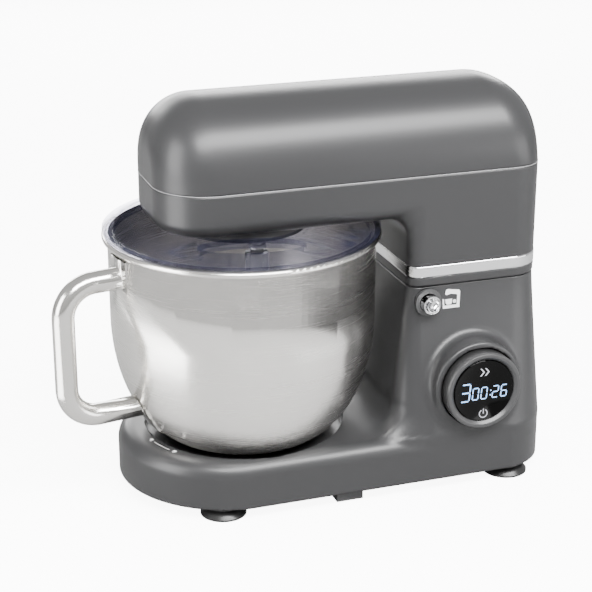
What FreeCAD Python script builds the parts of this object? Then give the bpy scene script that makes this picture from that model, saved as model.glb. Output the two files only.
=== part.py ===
import FreeCAD, Part
import math
import os
import Sketcher

# A tilt-head stand mixer. Frame: +Z up, floor at z = 0, X along the machine with the nose at -X,
# the control side at -Y. The origin is under the middle of the whole machine's bounding box.
# Every sub-part is drawn about the bowl's axis and then placed with the axis offset.

doc = FreeCAD.newDocument("StandMixer")
V = FreeCAD.Vector
X_AXIS, Y_AXIS, Z_AXIS = V(1, 0, 0), V(0, 1, 0), V(0, 0, 1)

# ---------------------------------------------------------------- driving dimensions (mm, degrees)
TABLE = [
    ("rim_height", 229.5), ("rim_radius", 120.0), ("bowl_wall_radius", 115.3), ("bowl_sheet", 0.8),
    ("bowl_straight", 76.0), ("bowl_depth", 186.0), ("bowl_floor_radius", 52.0), ("rim_roll", 2.6),
    ("foot_height", 11.0), ("base_height", 41.5), ("base_half", 98.0), ("base_front_x", -15.0),
    ("base_corner", 50.0), ("base_round", 14.0), ("shell", 3.0), ("bottom_sheet", 2.6),
    ("rear_x", 257.0), ("base_rear_x", 262.0), ("neck_front_x", 130.0), ("neck_corner", 12.0),
    ("rear_corner", 30.0),
    ("tower_foot_x", 114.0), ("tower_cove", 30.0), ("split_height", 180.5), ("split_gap", 1.0),
    ("recess_radius", 89.0), ("recess_depth", 10.0), ("well_radius", 62.0), ("well_depth", 9.0),
    ("head_half", 67.3), ("head_front_x", -83.4), ("head_corner", 47.0), ("head_floor", 241.5),
    ("seam_height", 279.5), ("head_top", 349.5), ("head_edge", 13.0), ("neck_cove", 18.0),
    ("cover_front_round", 44.0), ("cover_rear_round", 48.0),
    ("ring_height", 8.0), ("chrome_height", 10.0), ("chrome_proud", 0.4),
    ("hinge_x", 256.0), ("knuckle_radius", 6.0), ("pin_radius", 3.0), ("hinge_half", 36.0),
    ("hinge_middle", 15.0), ("hinge_leaf", 3.0), ("running_fit", 0.06), ("clearance", 0.5),
    ("hub_radius", 56.0), ("hub_drop", 8.0), ("lid_gap", 1.8), ("lid_sheet", 2.2),
    ("lid_bead_radius", 111.5), ("chute_reach", 81.6), ("chute_half", 44.5), ("chute_depth", 20.0),
    ("chute_angle", 258.7), ("chute_rise", 6.0), ("chute_wall", 2.0),
    ("tool_offset", 30.0), ("tool_angle", -82.0), ("tool_radius", 6.0), ("carrier_radius", 50.0),
    ("idler_x", 60.0), ("pulley_x", 104.0), ("motor_x", 187.0), ("motor_radius", 38.0),
    ("large_pulley", 35.0), ("small_pulley", 8.0), ("belt_width", 7.0), ("belt_thickness", 2.0),
    ("knob_x", 184.0), ("knob_z", 94.5), ("knob_radius", 34.5), ("boss_radius", 40.5),
    ("boss_face", 97.0), ("knob_face", 108.5), ("lens_radius", 28.0),
    ("button_x", 145.0), ("button_z", 168.0), ("button_radius", 8.0), ("button_out", 13.0),
    ("foot_radius", 20.0), ("front_foot_x", -42.0), ("front_foot_y", 74.0),
    ("rear_foot_x", 222.0), ("rear_foot_y", 77.0),
    ("grip_angle", 190.0), ("grip_radius", 9.5), ("grip_reach", 166.0), ("grip_bend", 28.0),
    ("grip_top", 26.5), ("grip_bottom", 145.0), ("grip_plate", 1.6),
    ("beater_half", 49.0), ("beater_thickness", 9.0), ("beater_top", 181.5), ("beater_bottom", 62.0),
    ("beater_bar", 9.0), ("post_radius", 5.0), ("screw_radius", 1.95), ("screw_head", 3.6), ("screw_sink",
                                                                                             1.8),
    ("front_screw_x", -70.0), ("front_screw_y", 50.0), ("side_screw_x", 120.0), ("rear_screw_y", 44.0),
    ("rest_x", 68.0), ("rest_y", 84.0), ("rest_half", 12.0), ("gland_radius", 8.0), ("gland_z", 30.0),
    ("shaft_radius", 4.0), ("main_shaft", 8.0), ("gear_depth", 7.0), ("second_depth", 6.0), ("ring_depth",
                                                                                             10.0),
    ("chassis_sheet", 4.0), ("bridge_sheet", 3.0), ("bridge_gap", 23.0), ("motor_length", 58.0),
    ("spring_radius", 5.2), ("spring_wire", 0.55), ("spring_length", 7.6), ("spring_pitch", 2.2),
    ("push_rod", 3.0), ("seat_height", 7.5), ("seat_sector", 30.0),
]


class Dim:
    """A length that knows both its number and its spreadsheet expression."""

    def __init__(self, text, value):
        self.text = text
        self.value = float(value)

    def joined(self, other, sign, value, flipped=False):
        other = other if isinstance(other, Dim) else Dim(repr(float(other)), other)
        first, second = (other, self) if flipped else (self, other)
        return Dim("(%s %s %s)" % (first.text, sign, second.text), value(first.value, second.value))

    def __add__(self, other):
        return self.joined(other, "+", lambda a, b: a + b)

    __radd__ = __add__

    def __sub__(self, other):
        return self.joined(other, "-", lambda a, b: a - b)

    def __rsub__(self, other):
        return self.joined(other, "-", lambda a, b: a - b, True)

    def __mul__(self, other):
        return self.joined(other, "*", lambda a, b: a * b)

    __rmul__ = __mul__

    def __truediv__(self, other):
        return self.joined(other, "/", lambda a, b: a / b)

    def __neg__(self):
        return Dim("(0 - %s)" % self.text, -self.value)


def number(size):
    return size.value if isinstance(size, Dim) else float(size)


class Sheet:
    """The spreadsheet of driving dimensions; each alias is read as an attribute."""

    def __init__(self, table):
        self.cells = doc.addObject("Spreadsheet::Sheet", "Sizes")
        self.values = dict(table)
        for row, (alias, value) in enumerate(table, start=1):
            self.cells.set("A%d" % row, alias.replace("_", " "))
            self.cells.set("B%d" % row, repr(value))
            self.cells.setAlias("B%d" % row, alias)
        doc.recompute()

    def __getattr__(self, alias):
        return Dim("Sizes." + alias, self.values[alias])


s = Sheet(TABLE)
GRIP_COS = math.cos(math.radians(s.grip_angle.value))
FINISHED = []

# The bounding box runs from the grip's front to the base's rear, so its middle is this far back.
axis_x = (s.grip_reach * -GRIP_COS + s.grip_radius - s.base_rear_x) / 2

base_top = s.foot_height + s.base_height
recess_floor = base_top - s.recess_depth
well_floor = recess_floor - s.well_depth
split_low = s.split_height - s.split_gap / 2
split_high = s.split_height + s.split_gap / 2
chrome_low = split_high + s.ring_height
casing_low = chrome_low + s.chrome_height


# ------------------------------------------------------------------------------ drawing helpers
def bind(piece, prop, size):
    if isinstance(size, Dim):
        piece.setExpression(prop, size.text)
    else:
        owner, _, last = prop.rpartition(".")
        if owner:
            base = piece.Placement.Base
            setattr(base, last, float(size))
            piece.Placement = FreeCAD.Placement(base, piece.Placement.Rotation)
        else:
            setattr(piece, prop, float(size))


def move(piece, x=0.0, y=0.0, z=0.0, rotation=None):
    piece.Placement = FreeCAD.Placement(V(number(x), number(y), number(z)), rotation or FreeCAD.Rotation())
    for letter, size in (("x", x), ("y", y), ("z", z)):
        if isinstance(size, Dim):
            piece.setExpression("Placement.Base." + letter, size.text)
    return piece


TURN = {"X": FreeCAD.Rotation(Y_AXIS, 90), "Y": FreeCAD.Rotation(X_AXIS, -90), "Z": FreeCAD.Rotation()}


def box(name, x, y, z):
    piece = doc.addObject("Part::Box", name)
    bind(piece, "Length", x[1] - x[0])
    bind(piece, "Width", y[1] - y[0])
    bind(piece, "Height", z[1] - z[0])
    return move(piece, x[0], y[0], z[0])


def rod(name, radius, x, y, z, axis="Z"):
    """A cylinder; the coordinate along its axis is a (low, high) pair."""
    piece = doc.addObject("Part::Cylinder", name)
    spot = {"X": x, "Y": y, "Z": z}
    low, high = spot[axis]
    spot[axis] = low
    bind(piece, "Radius", radius)
    bind(piece, "Height", high - low)
    return move(piece, spot["X"], spot["Y"], spot["Z"], TURN[axis])


def cone(name, low_radius, high_radius, x, y, z, axis="Z"):
    piece = doc.addObject("Part::Cone", name)
    spot = {"X": x, "Y": y, "Z": z}
    low, high = spot[axis]
    spot[axis] = low
    bind(piece, "Radius1", low_radius)
    bind(piece, "Radius2", high_radius)
    bind(piece, "Height", high - low)
    return move(piece, spot["X"], spot["Y"], spot["Z"], TURN[axis])


def fuse(name, *pieces):
    if len(pieces) == 1:
        return pieces[0]
    piece = doc.addObject("Part::MultiFuse", name)
    piece.Shapes = list(pieces)
    piece.Refine = True
    return piece


def cut(name, base, *tools):
    piece = doc.addObject("Part::Cut", name)
    piece.Base = base
    piece.Tool = fuse(name + "_tools", *tools)
    piece.Refine = True
    return piece


def shaped(name, shape):
    piece = doc.addObject("Part::Feature", name)
    piece.Shape = shape
    return piece


def spun(shape, angle, axis=Z_AXIS, shift=None):
    """A shape turned about an axis through the origin, and then shifted, with no placement left."""
    matrix = FreeCAD.Placement(shift or V(), FreeCAD.Rotation(axis, angle)).toMatrix()
    return shape.transformed(matrix, True)


def compound(name, *pieces):
    piece = doc.addObject("Part::Compound", name)
    piece.Links = list(pieces)
    return piece


def finish(label, piece, x=0.0, y=0.0, z=0.0, rotation=None):
    """Names a sub-part and places it from the bowl's axis."""
    if not piece.Placement.isIdentity():
        piece = compound(label + "_piece", piece)
    move(piece, axis_x + x, y, z, rotation)
    piece.Label = label
    FINISHED.append(piece)
    return piece


def sketch(body, name, role, points, arcs):
    """A closed outline whose corners are bound to the sheet; arcs maps a side to (radius, side)."""
    plane = [item for item in body.Origin.OriginFeatures if item.Role == role][0]
    drawing = body.newObject("Sketcher::SketchObject", name)
    drawing.AttachmentSupport = [(plane, "")]
    drawing.MapMode = "FlatFace"
    corners = [V(number(a), number(b), 0) for a, b in points]
    count = len(points)
    for index, start in enumerate(corners):
        end = corners[(index + 1) % count]
        if index not in arcs:
            drawing.addGeometry(Part.LineSegment(start, end), False)
            continue
        radius, side = number(arcs[index][0]), arcs[index][1]
        span = end - start
        normal = V(-span.y, span.x, 0).normalize()
        reach = math.sqrt(max(radius ** 2 - (span.Length / 2) ** 2, 0.0))
        centre = (start + end) * 0.5 + normal * reach * side
        drawing.addGeometry(Part.Arc(start, centre - normal * radius * side, end), False)
    for index in range(count):
        following = (index + 1) % count
        corner = corners[following]
        last = 2 if (drawing.Geometry[index].EndPoint - corner).Length < 1e-6 else 1
        first = 1 if (drawing.Geometry[following].StartPoint - corner).Length < 1e-6 else 2
        drawing.addConstraint(Sketcher.Constraint("Coincident", index, last, following, first))
        for kind, size in zip(("DistanceX", "DistanceY"), points[following]):
            row = drawing.addConstraint(Sketcher.Constraint(kind, -1, 1, following, first, number(size)))
            if isinstance(size, Dim):
                drawing.setExpression("Constraints[%d]" % row, size.text)
    for index, (radius, side) in arcs.items():
        row = drawing.addConstraint(Sketcher.Constraint("Radius", index, number(radius)))
        if isinstance(radius, Dim):
            drawing.setExpression("Constraints[%d]" % row, radius.text)
    return drawing


def turned(name, points, arcs=None):
    """A body turned about Z from an outline of (radius, height) corners."""
    body = doc.addObject("PartDesign::Body", name)
    drawing = sketch(body, name + "_outline", "XZ_Plane", points, arcs or {})
    turn = body.newObject("PartDesign::Revolution", name + "_turn")
    turn.Profile = drawing
    turn.ReferenceAxis = (drawing, ["V_Axis"])
    turn.Angle = 360
    return body


def plate(name, points, arcs, thickness, role="XY_Plane"):
    """A body padded evenly about its sketch plane."""
    body = doc.addObject("PartDesign::Body", name)
    pad = body.newObject("PartDesign::Pad", name + "_pad")
    drawing = sketch(body, name + "_outline", role, points, arcs or {})
    pad.Profile = drawing
    bind(pad, "Length", thickness)
    pad.Midplane = True
    body.Tip = pad
    return body


def ring(name, outer, inner, low, high, x=0.0, y=0.0):
    """A plain tube turned about its own axis."""
    body = turned(name, [(inner, low), (outer, low), (outer, high), (inner, high)])
    return move(body, x, y)


def oval(name, major, minor, low, high, x, y, angle):
    edge = doc.addObject("Part::Ellipse", name + "_edge")
    bind(edge, "MajorRadius", major)
    bind(edge, "MinorRadius", minor)
    move(edge, x, y, low, FreeCAD.Rotation(Z_AXIS, angle))
    piece = doc.addObject("Part::Extrusion", name)
    piece.Base = edge
    piece.DirMode = "Custom"
    piece.Dir = Z_AXIS
    bind(piece, "LengthFwd", high - low)
    piece.Solid = True
    return piece


# ------------------------------------------------------------------- free-form shell helpers
def rounded_wire(front, rear, half, front_corner, rear_corner, height):
    """A rounded rectangle, symmetric in Y, of four lines and four arcs."""
    def arc(cx, cy, radius, middle):
        points = [math.radians(middle + turn) for turn in (-45, 0, 45)]
        return Part.Arc(*[V(cx + radius * math.cos(a), cy + radius * math.sin(a), height) for a in points])
    arcs = [arc(rear - rear_corner, half - rear_corner, rear_corner, 45),
            arc(front + front_corner, half - front_corner, front_corner, 135),
            arc(front + front_corner, front_corner - half, front_corner, 225),
            arc(rear - rear_corner, rear_corner - half, rear_corner, 315)]
    edges = []
    for index, curve in enumerate(arcs):
        edges.append(curve.toShape())
        following = arcs[(index + 1) % 4]
        edges.append(Part.LineSegment(curve.EndPoint, following.StartPoint).toShape())
    return Part.Wire(edges)


def prism(wire, depth):
    return Part.Face(wire).extrude(V(0, 0, depth))


def base_block(inset, low, high, rounding):
    """The base's slab: a half-round front, rounded rear corners and a rounded top edge."""
    half = s.base_half.value - inset
    centre = s.base_front_x.value
    rear = s.base_rear_x.value - inset
    corner = s.base_corner.value - inset
    front = Part.Arc(V(centre, half, low), V(centre - half, 0, low), V(centre, -half, low))
    turn = corner * math.sqrt(0.5)
    left = Part.Arc(V(rear - corner, -half, low), V(rear - corner + turn, -half + corner - turn, low),
                    V(rear, corner - half, low))
    right = Part.Arc(V(rear, half - corner, low), V(rear - corner + turn, half - corner + turn, low),
                     V(rear - corner, half, low))
    lines = [Part.LineSegment(front.EndPoint, left.StartPoint),
             Part.LineSegment(left.EndPoint, right.StartPoint),
             Part.LineSegment(right.EndPoint, front.StartPoint)]
    wire = Part.Wire([front.toShape(), lines[0].toShape(), left.toShape(), lines[1].toShape(),
                      right.toShape(), lines[2].toShape()])
    block = prism(wire, high - low)
    rim = [edge for edge in block.Edges if abs(edge.BoundBox.ZMin - high) < 1e-6]
    return block.makeFillet(rounding, rim)


def tower_section(height, inset):
    """The tower's outline at a height: straight-sided above, flaring into the base below."""
    top, bottom = s.split_height.value, base_top.value
    share = min(max((top - height) / (top - bottom), 0.0), 1.0)
    skin = 0.2 + inset
    top_half = s.head_half.value - 0.8
    half = top_half + (s.base_half.value - top_half) * share ** 1.3 - skin
    rear = s.rear_x.value + (s.base_rear_x.value - s.rear_x.value) * share - skin
    cove_top = bottom + s.tower_cove.value
    lean = (s.neck_front_x.value - s.tower_foot_x.value) / (top - cove_top)
    front = s.neck_front_x.value - lean * (top - max(height, cove_top))
    if height < cove_top:
        drop = min(cove_top - height, s.tower_cove.value)
        front -= s.tower_cove.value - math.sqrt(max(s.tower_cove.value ** 2 - drop ** 2, 0.0))
    front_corner = s.neck_corner.value + 22.0 * share ** 2 - inset * 0.7
    rear_corner = s.rear_corner.value + (s.base_corner.value - s.rear_corner.value) * share ** 1.5 - inset * 0.7
    return rounded_wire(front + skin, rear, half, front_corner, rear_corner, height)


def tower_block(inset, low, high):
    levels = [low, base_top.value + 1.5, base_top.value + 6, base_top.value + 14, base_top.value + 24,
              base_top.value + 38, base_top.value + 62, base_top.value + 90, s.split_height.value - 18, high]
    return Part.makeLoft([tower_section(level, inset) for level in levels], True, False)


def casing_block(inset, low, high):
    """The head's lower casing: flat underside, neck, cove between them and one rounded lower edge."""
    half = s.head_half.value - inset
    front, rear = s.head_front_x.value + inset, s.rear_x.value - inset
    floor, neck = s.head_floor.value + inset, s.neck_front_x.value + inset
    cove = s.neck_cove.value
    bend = cove * (1 - math.sqrt(0.5))
    arc = Part.Arc(V(neck - cove, -half, floor), V(neck - bend, -half, floor - bend),
                   V(neck, -half, floor - cove))
    outline = [V(neck, -half, floor - cove), V(neck, -half, low), V(rear, -half, low), V(rear, -half, high),
               V(front, -half, high), V(front, -half, floor), V(neck - cove, -half, floor)]
    edges = [arc.toShape()]
    edges += [Part.LineSegment(a, b).toShape() for a, b in zip(outline, outline[1:])]
    block = Part.Face(Part.Wire(Part.__sortEdges__(edges))).extrude(V(0, 2 * half, 0))
    nose = [e for e in block.Edges if e.BoundBox.XMax < front + 1e-3 and e.BoundBox.YLength < 1e-3]
    block = block.makeFillet(s.head_corner.value - inset, nose)
    back = [e for e in block.Edges if e.BoundBox.XMin > rear - 1e-3 and e.BoundBox.YLength < 1e-3]
    block = block.makeFillet(s.rear_corner.value - inset, back)
    edge_round = s.head_edge.value - inset
    chain = []
    for edge in block.Edges:
        b = edge.BoundBox
        under = b.ZMax < floor + 1e-3 and b.XMax < neck + 1e-3 and b.ZMin > low + 1e-3 or \
            (b.XLength < 1e-3 and abs(b.XMin - neck) < 1e-3 and b.ZLength > 1)
        along = b.YLength < 1e-3 and abs(abs(b.YMin) - half) < 1e-3
        at_front = b.XMax < front + s.head_corner.value and abs(b.ZMax - floor) < 1e-3 and b.ZLength < 1e-3
        if under and (along or at_front):
            chain.append(edge)
    return block.makeFillet(edge_round, chain)


def arch_wire(x, half, seam, top):
    """A half-ellipse over a straight seam line, in the plane at x."""
    arc = Part.Arc(V(x, 1, 0), V(x, 0, 1), V(x, -1, 0)).toBSpline()
    for index, pole in enumerate(arc.getPoles(), start=1):
        arc.setPole(index, V(x, pole.y * half, seam + pole.z * (top - seam)))
    line = Part.LineSegment(arc.EndPoint, arc.StartPoint)
    return Part.Wire([arc.toShape(), line.toShape()])


def rounded_reach(distance, radius):
    """How far a rounded end has risen at a distance from its start, up to its radius."""
    left = max(radius - distance, 0.0)
    return math.sqrt(radius ** 2 - left ** 2)


def cover_block(inset):
    """The head's upper cover as a loft of arches from nose to rear."""
    front, rear = s.head_front_x.value + inset, s.rear_x.value - inset
    half, seam, top = s.head_half.value - inset, s.seam_height.value, s.head_top.value - inset
    front_corner, rear_corner = s.head_corner.value - inset, s.rear_corner.value - inset
    front_round, rear_round = s.cover_front_round.value - inset, s.cover_rear_round.value - inset
    nose = [front + front_round * (1 - math.cos(math.radians(turn))) for turn in (0, 14, 28, 42, 56, 72, 90)]
    tail = [rear - rear_round * (1 - math.cos(math.radians(turn))) for turn in (90, 72, 54, 40, 29, 18, 9, 0)]
    lofts = []
    for stations in (nose, [nose[-1], tail[0]], tail):
        sections = []
        for x in stations:
            fall = front_round - rounded_reach(x - front, front_round)
            fall += rear_round - rounded_reach(rear - x, rear_round)
            squeeze = front_corner - rounded_reach(x - front, front_corner)
            squeeze += rear_corner - rounded_reach(rear - x, rear_corner)
            sections.append(arch_wire(x, half - squeeze, seam, top - fall))
        lofts.append(Part.makeLoft(sections, True, False))
    return lofts[0].fuse(lofts[1]).fuse(lofts[2])


# --------------------------------------------------------------------------------- gear helper
PRESSURE = math.radians(25)


def gear_wire(teeth, module, phase, low, backlash=0.12, internal=False):
    """An involute outline with one tooth (or, when internal, one space) centred on the phase."""
    pitch = teeth * module / 2
    base = pitch * math.cos(PRESSURE)
    tip = pitch + (1.05 if internal else 0.8) * module
    root = pitch - (0.8 if internal else 1.05) * module
    grow = backlash / 2 if internal else -backlash / 2
    half_tooth = math.pi / (2 * teeth) + grow / pitch
    lean = math.tan(PRESSURE) - PRESSURE

    def flank(radius):
        if radius <= base:
            return half_tooth + lean
        angle = math.acos(base / radius)
        return half_tooth + lean - (math.tan(angle) - angle)

    def spot(radius, angle):
        return V(radius * math.cos(angle), radius * math.sin(angle), low)

    start = max(root, base)
    radii = [start + (tip - start) * step / 5 for step in range(6)]
    outline = []
    for tooth in range(teeth):
        middle = math.radians(phase) + 2 * math.pi * tooth / teeth
        side = [(root, flank(start))] + [(radius, flank(radius)) for radius in radii]
        chain = [spot(radius, middle - turn) for radius, turn in side]
        chain += [spot(radius, middle + turn) for radius, turn in reversed(side)]
        for point in chain:
            if not outline or (point - outline[-1]).Length > 1e-5:
                outline.append(point)
    pairs = zip(outline, outline[1:] + outline[:1])
    return Part.Wire([Part.LineSegment(a, b).toShape() for a, b in pairs])


def gear(teeth, module, phase, low, high, bore):
    """A spur gear about Z with a round bore."""
    depth = number(high - low)
    blank = prism(gear_wire(teeth, module, phase, number(low)), depth)
    return blank.cut(Part.makeCylinder(number(bore), depth, V(0, 0, number(low))))


# ------------------------------------------------------------------------------ stand: base and tower
wall = s.shell.value
bottom_top = s.foot_height.value + s.bottom_sheet.value
# The screw posts stand against the side and rear walls, half a millimetre into them.
post_reach = s.shell + s.post_radius - 0.5
SCREW_PLACES = [(along, side * across) for side in (1, -1) for along, across in (
    (s.front_screw_x, s.front_screw_y), (s.side_screw_x, s.base_half - post_reach),
    (s.base_rear_x - post_reach, s.rear_screw_y))]
dish = [Part.makeCylinder(s.recess_radius.value + wall, base_top.value, V(0, 0, recess_floor.value - wall)),
        Part.makeCylinder(s.well_radius.value + wall, base_top.value, V(0, 0, well_floor.value - wall))]
housing = base_block(0.0, s.foot_height.value, base_top.value, s.base_round.value)
housing = housing.fuse(tower_block(0.0, base_top.value - s.base_round.value - 6, split_low.value))
side_wall_y = s.head_half.value + 4
boss = Part.makeCone(s.boss_radius.value + 7, s.boss_radius.value, s.boss_face.value - side_wall_y,
                     V(s.knob_x.value, -side_wall_y, s.knob_z.value), V(0, -1, 0))
housing = housing.fuse(boss)
hollow = base_block(wall, s.foot_height.value - 1, base_top.value - wall, s.base_round.value - wall)
hollow = hollow.cut(dish[0]).cut(dish[1])
hollow = hollow.fuse(tower_block(wall, base_top.value - s.base_round.value - 4, split_low.value + 1)
                     .cut(dish[0]).cut(dish[1]))
housing = housing.cut(hollow)
housing = housing.cut(Part.makeCylinder(s.recess_radius.value, base_top.value, V(0, 0, recess_floor.value)))
housing = housing.cut(Part.makeCylinder(s.well_radius.value, base_top.value, V(0, 0, well_floor.value)))
knob_spot = V(s.knob_x.value, -s.boss_face.value, s.knob_z.value)
housing = housing.cut(Part.makeCylinder(s.knob_radius.value + 1.0, 5.0, knob_spot, Y_AXIS))
housing = housing.cut(Part.makeCylinder(s.lens_radius.value - 6, 40.0, knob_spot, Y_AXIS))
boss_hollow = V(s.knob_x.value, 7.5 - s.boss_face.value, s.knob_z.value)
housing = housing.cut(Part.makeCylinder(s.knob_radius.value - 1.5, 30.0, boss_hollow, Y_AXIS))
button_spot = V(s.button_x.value, -s.base_half.value, s.button_z.value)
housing = housing.cut(Part.makeCylinder(s.button_radius.value + 2.5, 60.0, button_spot, Y_AXIS))
hinge_spot = V(s.hinge_x.value, -s.hinge_half.value - 1, s.split_height.value)
hinge_void = Part.makeCylinder(s.knuckle_radius.value + 0.8, 2 * s.hinge_half.value + 2, hinge_spot, Y_AXIS)
housing = housing.cut(hinge_void)
for sx, sy in SCREW_PLACES:
    post_height = recess_floor.value - wall / 2 - bottom_top
    housing = housing.fuse(Part.makeCylinder(s.post_radius.value, post_height,
                                             V(number(sx), number(sy), bottom_top)))
gland_spot = V(s.base_rear_x.value - 4 * wall, 0, s.gland_z.value)
housing = housing.cut(Part.makeCylinder(s.gland_radius.value, 10 * wall, gland_spot, X_AXIS))
finish("base_housing", shaped("housing", housing.removeSplitter()))

bottom_blank = base_block(wall + s.clearance.value, s.foot_height.value, base_top.value,
                          s.base_round.value - wall - 1)
bottom = bottom_blank.common(Part.makeBox(600, 400, s.bottom_sheet.value, V(-300, -200, s.foot_height.value)))
for sx, sy in SCREW_PLACES:
    bottom = bottom.cut(Part.makeCylinder(s.screw_radius.value + 0.05, s.bottom_sheet.value,
                                          V(number(sx), number(sy), s.foot_height.value)))
finish("bottom_cover", shaped("bottom", bottom))

heads = []
for index, (sx, sy) in enumerate(SCREW_PLACES):
    shank = rod("screw_shank_%d" % index, s.screw_radius, sx, sy,
                (s.foot_height, s.foot_height + s.bottom_sheet))
    flat = rod("screw_flat_%d" % index, s.screw_head, sx, sy, (s.foot_height - s.screw_sink, s.foot_height))
    heads.append(fuse("screw_%d" % index, shank, flat))
finish("bottom_screws", compound("screws", *heads))

FEET = {"front_left": (s.front_foot_x, s.front_foot_y), "front_right": (s.front_foot_x, -s.front_foot_y),
        "rear_left": (s.rear_foot_x, s.rear_foot_y), "rear_right": (s.rear_foot_x, -s.rear_foot_y)}
for corner, (fx, fy) in FEET.items():
    cup = turned("cup_" + corner, [(0.0, 2.6), (s.foot_radius - 5.5, 2.2), (s.foot_radius - 1.2, 0.0),
                                   (s.foot_radius, 0.0), (s.foot_radius, 1.6), (s.foot_radius - 3.5, 5.0),
                                   (s.foot_radius - 7, 6.4), (s.foot_radius - 7, s.foot_height),
                                   (0.0, s.foot_height)])
    finish("suction_foot_" + corner, cup, fx, fy)
rests = [box("rest_%d" % side, (s.rest_x - s.rest_half, s.rest_x + s.rest_half),
             (side * s.rest_y - s.rest_half / 2, side * s.rest_y + s.rest_half / 2), (0.0, s.foot_height))
         for side in (-1, 1)]
finish("side_rests", compound("rests", *rests))

# Bayonet seat for the bowl: three hooks over three lugs of the bowl's foot.
def sectors(outer, inner, low, high, count=3):
    """Parts of a tube, evenly spaced about Z."""
    pieces = []
    turn = s.seat_sector.value
    for index in range(count):
        tube = Part.makeCylinder(outer, number(high - low), V(0, 0, number(low)), Z_AXIS, turn)
        tube = tube.cut(Part.makeCylinder(inner, number(high - low), V(0, 0, number(low))))
        pieces.append(spun(tube, index * 360 / count - turn / 2))
    return pieces


foot_radius = s.bowl_floor_radius.value - 2
lug_radius = foot_radius + 4.6
seat = Part.makeCylinder(s.well_radius.value - 0.3, s.seat_height.value, V(0, 0, well_floor.value))
seat = seat.cut(Part.makeCylinder(lug_radius + 1.9, s.seat_height.value, V(0, 0, well_floor.value)))
for hook in sectors(lug_radius + 2.4, foot_radius + 2, well_floor + s.seat_height - 2.1,
                    well_floor + s.seat_height):
    seat = seat.fuse(hook)
finish("bowl_seat_ring", shaped("seat", seat.removeSplitter()))

deck_low, deck_high = split_low - 3, split_low - 0.8
deck = Part.makeLoft([tower_section(level.value, wall + 1.0) for level in (deck_low, deck_high)], True, False)
deck = deck.cut(Part.makeBox(26, 30, 20, V(s.button_x.value - 12, -54, deck_low.value - 12)))
WIRE_WAY_Y, WIRE_WAY_RADIUS = 30.0, 12.0
deck = deck.cut(Part.makeCylinder(WIRE_WAY_RADIUS + 2, 30,
                                  V(s.motor_x.value, WIRE_WAY_Y, deck_low.value - 10)))
deck = deck.cut(hinge_void)
leaf_back = s.rear_x.value - wall - s.hinge_leaf.value
leaf_box = Part.makeBox(s.hinge_leaf.value + 2, 2 * s.hinge_half.value + 2, 40,
                        V(leaf_back - 1.2, -s.hinge_half.value - 1, deck_low.value - 20))
deck = deck.cut(leaf_box)
finish("tower_deck", shaped("deck", deck))

# Hinge: knuckles on the tower's leaf and on the head's leaf, around one pin.
leaf_x = (s.rear_x - s.shell - s.hinge_leaf - 0.8, s.rear_x - s.shell - 0.8)
pin_bore = s.pin_radius + s.running_fit
KNUCKLE_SPANS = [(s.hinge_middle + s.clearance, s.hinge_half), (-s.hinge_half, -s.hinge_middle - s.clearance)]
outer_knuckles = [rod("knuckle_%d" % row, s.knuckle_radius, s.hinge_x, span, s.split_height, "Y")
                  for row, span in enumerate(KNUCKLE_SPANS)]
arm_low = s.split_height - s.knuckle_radius - 3
lower_leaf = box("lower_leaf", leaf_x, (-s.hinge_half, s.hinge_half), (arm_low - 41.5, arm_low + 0.5))
lower_arms = [box("lower_arm_%d" % row, leaf_x, span, (arm_low, s.split_height))
              for row, span in enumerate(KNUCKLE_SPANS)]
bracket = fuse("bracket_blank", lower_leaf, *lower_arms, *outer_knuckles)
finish("hinge_bracket", cut("bracket", bracket, rod("bracket_bore", s.pin_radius, s.hinge_x,
                                                    (-100.0, 100.0), s.split_height, "Y")))
finish("hinge_pin", rod("pin", s.pin_radius, s.hinge_x, (-s.hinge_half - 1, s.hinge_half + 1),
                        s.split_height, "Y"))
middle = rod("knuckle_middle", s.knuckle_radius, s.hinge_x, (-s.hinge_middle, s.hinge_middle),
             s.split_height, "Y")
upper_leaf = box("upper_leaf", leaf_x, (-s.hinge_middle, s.hinge_middle),
                 (s.split_height, s.split_height + 58))
finish("head_hinge_leaf", cut("head_leaf", fuse("head_leaf_blank", middle, upper_leaf),
                              rod("head_leaf_bore", pin_bore, s.hinge_x, (-100.0, 100.0), s.split_height,
                                  "Y")))

# Release button: a push rod with a hook beside the striker's tooth, and its spring and collar.
button_tip = -s.head_half - s.button_out
button_back = -s.head_half + 1
rod_end = -s.head_half + 14
button_body = rod("button_body", s.button_radius, s.button_x, (button_tip, button_back), s.button_z, "Y")
button_rod = rod("button_rod", s.push_rod, s.button_x, (button_back, rod_end), s.button_z, "Y")
dimple = rod("button_dimple", s.button_radius - 1.6, s.button_x, (button_tip - 1, button_tip + 0.6),
             s.button_z, "Y")
finish("release_button", cut("button", fuse("button_blank", button_body, button_rod), dimple))
# The sleeve's flange stands just proud of the tower's side wall at the button's height.
flange_y = -s.head_half - 5.2


def about_button(radius, start, length):
    return Part.makeCylinder(number(radius), length, V(s.button_x.value, number(start), s.button_z.value),
                             Y_AXIS)


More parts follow.
